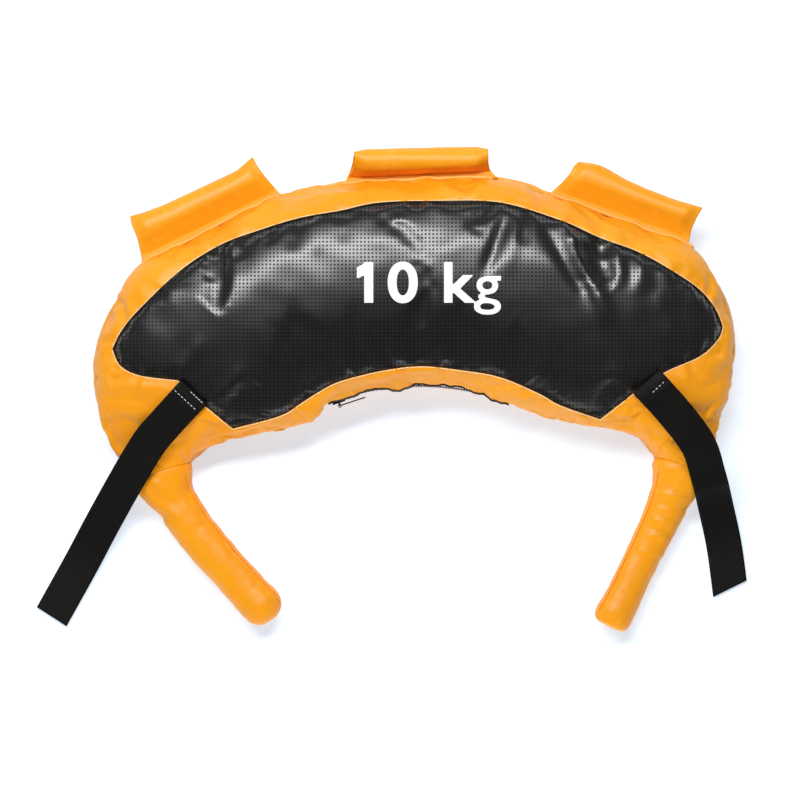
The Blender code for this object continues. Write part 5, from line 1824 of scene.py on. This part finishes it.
def make_teeth():
    """Moulded teeth on their cord."""
    form = bmesh.new()
    chain_end = ZIP_HALF_ANGLE - (STOP_LENGTH + 2 * GAP) / ARCH_RADIUS
    pitch = sizes().tooth_pitch
    count = int(2 * chain_end * ARCH_RADIUS / pitch)
    shape = Matrix.Diagonal((pitch * 0.72, CHAIN_THICKNESS * 0.9, CHAIN_HEIGHT * 0.8, 1))
    for index in range(count):
        angle = chain_end - (index + 0.5) * 2 * chain_end / count
        spot = arc_point(angle, ARCH_RADIUS - CHAIN_THICKNESS / 2, SEAM_HEIGHT)
        turn = Matrix.Translation(spot) @ Matrix.Rotation(angle, 4, "Z")
        lift = Matrix.Translation((0, 0, 0.0004 * (1 if index % 2 else -1)))
        made = bmesh.ops.create_cube(form, size=1, matrix=turn @ lift @ shape)
        edges = dict.fromkeys(edge for vertex in made["verts"] for edge in vertex.link_edges)
        bmesh.ops.bevel(
            form, geom=list(edges), offset=CHAIN_BEVEL, affect="EDGES", segments=1, profile=0.5,
            material=-1,
        )
    cord = grid_form(np.array([
        [
            arc_point(
                angle, ARCH_RADIUS - 0.0004 + 0.0003 * math.cos(turn),
                SEAM_HEIGHT + 0.0012 * math.sin(turn),
            )
            for turn in spread(0, 2 * math.pi, 8)
        ]
        for angle in spread(chain_end, -chain_end, 100)
    ]), wrap=True)
    bmesh.ops.recalc_face_normals(cord, faces=cord.faces)
    take_in(form, cord)
    piece = to_piece(form, "zip_teeth", plain_finish("zip teeth"), smooth=False)
    finish_piece(piece, "bag", "zip", "zip_chain")


MARK_WEIGHTS = (0.0, 0.008, 0.016, 0.024)
LIGHT_WEIGHT = 0.01
MARK_LEFT = -0.0540
MARK_TOP = 0.0205
MARK_CELL = 0.0006
MARK_DEPTH = 0.056
MARK_HEIGHT_SCALE = 0.9
MARK_LIFT = 0.0003
INK_THICKNESS = 0.0002


def lettering(words, weight):
    """Plain flat lettering in Blender's own font, made heavier by a weight, with a flag on its
    one."""
    curve = bpy.data.curves.new("lettering", "FONT")
    curve.body = words
    curve.offset = weight
    curve.resolution_u = 10
    curve.space_character = 1.1
    text = bpy.data.objects.new("lettering", curve)
    bpy.context.scene.collection.objects.link(text)
    bpy.context.view_layer.update()
    mesh = bpy.data.meshes.new_from_object(text)
    bpy.data.objects.remove(text, do_unlink=True)
    form = bmesh.new()
    form.from_mesh(mesh)
    bpy.data.meshes.remove(mesh)
    left = min(vertex.co.x for vertex in form.verts)
    top = max(vertex.co.y for vertex in form.verts if vertex.co.x < left + 0.15)
    flag = bmesh.ops.create_grid(form, x_segments=1, y_segments=1, size=0.5)["verts"]
    for vertex in flag:
        back = 0.5 - vertex.co.x
        rise = 0.17 * vertex.co.y - 0.10 * back - 0.085
        vertex.co = Vector((left + 0.03 - 0.15 * back, top + rise, 0))
    return form


def lettering_tree(words, width):
    """A search tree of heavy lettering laid flat at its place. The last letter, whose openings are
    small, takes the lighter weights only."""
    form = bmesh.new()
    first = lettering(words[:-1], 0.0)
    last_letter = max(vertex.co.x for vertex in first.verts) + MARK_WEIGHTS[-1]
    first.free()
    for weight in MARK_WEIGHTS:
        layer = lettering(words, weight)
        if weight > LIGHT_WEIGHT:
            gone = [face for face in layer.faces if face.calc_center_median().x > last_letter]
            bmesh.ops.delete(layer, geom=gone, context="FACES")
        take_in(form, layer)
    lows = [min(vertex.co[axis] for vertex in form.verts) for axis in range(2)]
    highs = [max(vertex.co[axis] for vertex in form.verts) for axis in range(2)]
    scale = width / (highs[0] - lows[0])
    for vertex in form.verts:
        vertex.co.x = MARK_LEFT + (vertex.co.x - lows[0]) * scale
        vertex.co.y = MARK_TOP - (highs[1] - vertex.co.y) * scale * MARK_HEIGHT_SCALE
        vertex.co.z = 0
    tree = BVHTree.FromBMesh(form)
    form.free()
    return tree


def make_mark():
    """The plain white weight mark, laid on the front panel."""
    width = sizes().mark_width
    tree = lettering_tree("10 kg", width)
    columns, rows = round(width / MARK_CELL) + 2, round(MARK_DEPTH / MARK_CELL)
    xs = np.array(spread(MARK_LEFT - MARK_CELL, MARK_LEFT + width + MARK_CELL, columns))
    ys = np.array(spread(MARK_TOP + MARK_CELL - MARK_DEPTH, MARK_TOP + MARK_CELL, rows))
    points = np.zeros((columns + 1, rows + 1, 3))
    points[..., 0], points[..., 1] = xs[:, None], ys[None, :]
    form = grid_form(points)
    nearest = {
        vertex: tree.find_nearest(Vector((vertex.co.x, vertex.co.y, 0.001)))[0]
        for vertex in form.verts
    }
    inked = {vertex: (nearest[vertex].xy - vertex.co.xy).length < 1e-6 for vertex in form.verts}
    gone = [face for face in form.faces if not any(inked[vertex] for vertex in face.verts)]
    bmesh.ops.delete(form, geom=gone, context="FACES")
    for vertex in form.verts:
        if not inked[vertex]:
            vertex.co.x, vertex.co.y = nearest[vertex].xy
        hit = point_on_dome(vertex.co.x, vertex.co.y)
        if hit is None:
            raise RuntimeError("the weight mark doesn't lie on the front panel")
        vertex.co.z = hit.z - sizes().cloth + MARK_LIFT
    bmesh.ops.recalc_face_normals(form, faces=form.faces)
    if sum(face.normal.z for face in form.faces) < 0:
        bmesh.ops.reverse_faces(form, faces=form.faces)
    piece = to_piece(form, "weight_mark", plain_finish("weight mark ink"))
    add_wall(piece, INK_THICKNESS)
    finish_piece(piece, "bag", "black_cloth")


# The stage

# Lamps: place, aim, width and depth, power, and whether gloss mirrors them
LAMPS = {
    "softbox": ((-0.3, 1.0, 2.2), (0, -0.05, 0), (2.2, 0.5), 72.0, True),
    "fill": ((0.0, -2.0, 0.30), (0, -0.10, 0.04), (2.6, 0.4), 30.0, False),
}
CAMERA_PLACE = (-0.0153, -0.1035, 12.0)
CAMERA_SENSOR_MM = 36
FRAME_WIDTH = 0.72
FLOOR_HALF_SIZE = 2.4
FLOOR_DROP = 0.0004
FLOOR_GLOW_COLOUR = (0.77, 0.88, 1.0, 1)
FLOOR_GLOW = 0.50
SEEN_GLOW = 0.14
WORLD_COLOUR = (0.97, 0.985, 1.0, 1)
WORLD_STRENGTH = 0.12


def make_stage():
    """Pale glowing floor, soft studio light from over the handles, and a camera straight above."""
    form = bmesh.new()
    bmesh.ops.create_grid(form, x_segments=8, y_segments=8, size=FLOOR_HALF_SIZE)
    bmesh.ops.translate(form, vec=(0, 0, -FLOOR_DROP), verts=form.verts)
    material = plain_finish("studio floor")
    tree = material.node_tree
    shader = tree.nodes["Principled BSDF"]
    shader.inputs["Emission Color"].default_value = FLOOR_GLOW_COLOUR
    rays = add_node(tree, "ShaderNodeLightPath").outputs
    glow = maths(tree, "MULTIPLY_ADD", rays["Is Camera Ray"], SEEN_GLOW, FLOOR_GLOW)
    tree.links.new(glow, shader.inputs["Emission Strength"])
    floor = to_piece(form, "studio_floor", material)

    scene = bpy.context.scene
    world = bpy.data.worlds.new("studio")
    world.use_nodes = True
    background = world.node_tree.nodes["Background"]
    background.inputs["Color"].default_value = WORLD_COLOUR
    background.inputs["Strength"].default_value = WORLD_STRENGTH
    scene.world = world
    scene.view_settings.view_transform = "Standard"

    for name, (place, aim, size, power, mirrored) in LAMPS.items():
        lamp = bpy.data.lights.new(name, "AREA")
        lamp.shape = "RECTANGLE"
        lamp.size, lamp.size_y = size
        lamp.energy = power
        holder = bpy.data.objects.new(name, lamp)
        direction = Vector(aim) - Vector(place)
        holder.rotation_euler = direction.to_track_quat("-Z", "Y").to_euler()
        holder.location = place
        holder.visible_glossy = mirrored
        scene.collection.objects.link(holder)

    lens = bpy.data.cameras.new("camera")
    lens.sensor_width = CAMERA_SENSOR_MM
    lens.lens = CAMERA_SENSOR_MM * (CAMERA_PLACE[2] - SEAM_HEIGHT) / FRAME_WIDTH
    camera = bpy.data.objects.new("camera", lens)
    camera.location = CAMERA_PLACE
    scene.collection.objects.link(camera)
    scene.camera = camera


# Operators


class SANDBAG_OT_stage(bpy.types.Operator):
    """Sets the floor, the light and the camera"""
    bl_idname = "sandbag.stage"
    bl_label = "Stage"

    def execute(self, context):
        make_stage()
        return {"FINISHED"}


class SANDBAG_OT_front_panel(bpy.types.Operator):
    """Makes the black pebbled panel"""
    bl_idname = "sandbag.front_panel"
    bl_label = "Front panel"

    def execute(self, context):
        make_front_panel()
        return {"FINISHED"}


class SANDBAG_OT_front_band(bpy.types.Operator):
    """Makes the orange band round the panel"""
    bl_idname = "sandbag.front_band"
    bl_label = "Front band"

    def execute(self, context):
        make_front_band()
        return {"FINISHED"}


class SANDBAG_OT_sides(bpy.types.Operator):
    """Makes the two orange side strips"""
    bl_idname = "sandbag.sides"
    bl_label = "Sides"

    def execute(self, context):
        make_sides()
        return {"FINISHED"}


class SANDBAG_OT_back(bpy.types.Operator):
    """Makes the flat back panel"""
    bl_idname = "sandbag.back"
    bl_label = "Back"

    def execute(self, context):
        make_back()
        return {"FINISHED"}


class SANDBAG_OT_fillings(bpy.types.Operator):
    """Makes the sand sacks and the wadding"""
    bl_idname = "sandbag.fillings"
    bl_label = "Fillings"

    def execute(self, context):
        make_fillings()
        return {"FINISHED"}


class SANDBAG_OT_horns(bpy.types.Operator):
    """Makes the two horn grips"""
    bl_idname = "sandbag.horns"
    bl_label = "Horn grips"

    def execute(self, context):
        make_horns()
        return {"FINISHED"}


class SANDBAG_OT_loops(bpy.types.Operator):
    """Makes the two webbing loops"""
    bl_idname = "sandbag.loops"
    bl_label = "Loops"

    def execute(self, context):
        make_loops()
        return {"FINISHED"}


class SANDBAG_OT_handles(bpy.types.Operator):
    """Makes the three top handles"""
    bl_idname = "sandbag.handles"
    bl_label = "Handles"

    def execute(self, context):
        make_handles()
        return {"FINISHED"}


class SANDBAG_OT_zip(bpy.types.Operator):
    """Makes the filling zip"""
    bl_idname = "sandbag.zip"
    bl_label = "Zip"

    def execute(self, context):
        make_zip()
        return {"FINISHED"}


class SANDBAG_OT_mark(bpy.types.Operator):
    """Makes the plain weight mark"""
    bl_idname = "sandbag.mark"
    bl_label = "Weight mark"

    def execute(self, context):
        make_mark()
        return {"FINISHED"}


# In the order in which they run: the loops lie on the finished cloth
OPERATORS = [
    SANDBAG_OT_stage, SANDBAG_OT_front_panel, SANDBAG_OT_front_band, SANDBAG_OT_sides,
    SANDBAG_OT_back, SANDBAG_OT_fillings, SANDBAG_OT_horns, SANDBAG_OT_loops,
    SANDBAG_OT_handles, SANDBAG_OT_zip, SANDBAG_OT_mark,
]


class SANDBAG_PT_sidebar(bpy.types.Panel):
    """Lists the bag's operators, sizes and colours"""
    bl_idname = "SANDBAG_PT_sidebar"
    bl_label = "Sandbag trainer"
    bl_space_type = "VIEW_3D"
    bl_region_type = "UI"
    bl_category = "Sandbag"

    def draw(self, context):
        for operator in OPERATORS:
            self.layout.operator(operator.bl_idname)
        for group in (context.scene.bag_sizes, context.scene.bag_colours):
            for name in group.bl_rna.properties.keys():
                if name not in ("rna_type", "name"):
                    self.layout.prop(group, name)


CLASSES = [BagSizes, BagColours, *OPERATORS, SANDBAG_PT_sidebar]


def register():
    for item in CLASSES:
        bpy.utils.register_class(item)
    bpy.types.Scene.bag_sizes = PointerProperty(type=BagSizes)
    bpy.types.Scene.bag_colours = PointerProperty(type=BagColours)


def unregister():
    del bpy.types.Scene.bag_colours
    del bpy.types.Scene.bag_sizes
    for item in reversed(CLASSES):
        bpy.utils.unregister_class(item)


def main():
    register()
    for operator in OPERATORS:
        group, name = operator.bl_idname.split(".")
        getattr(getattr(bpy.ops, group), name)()


if __name__ == "__main__":
    main()
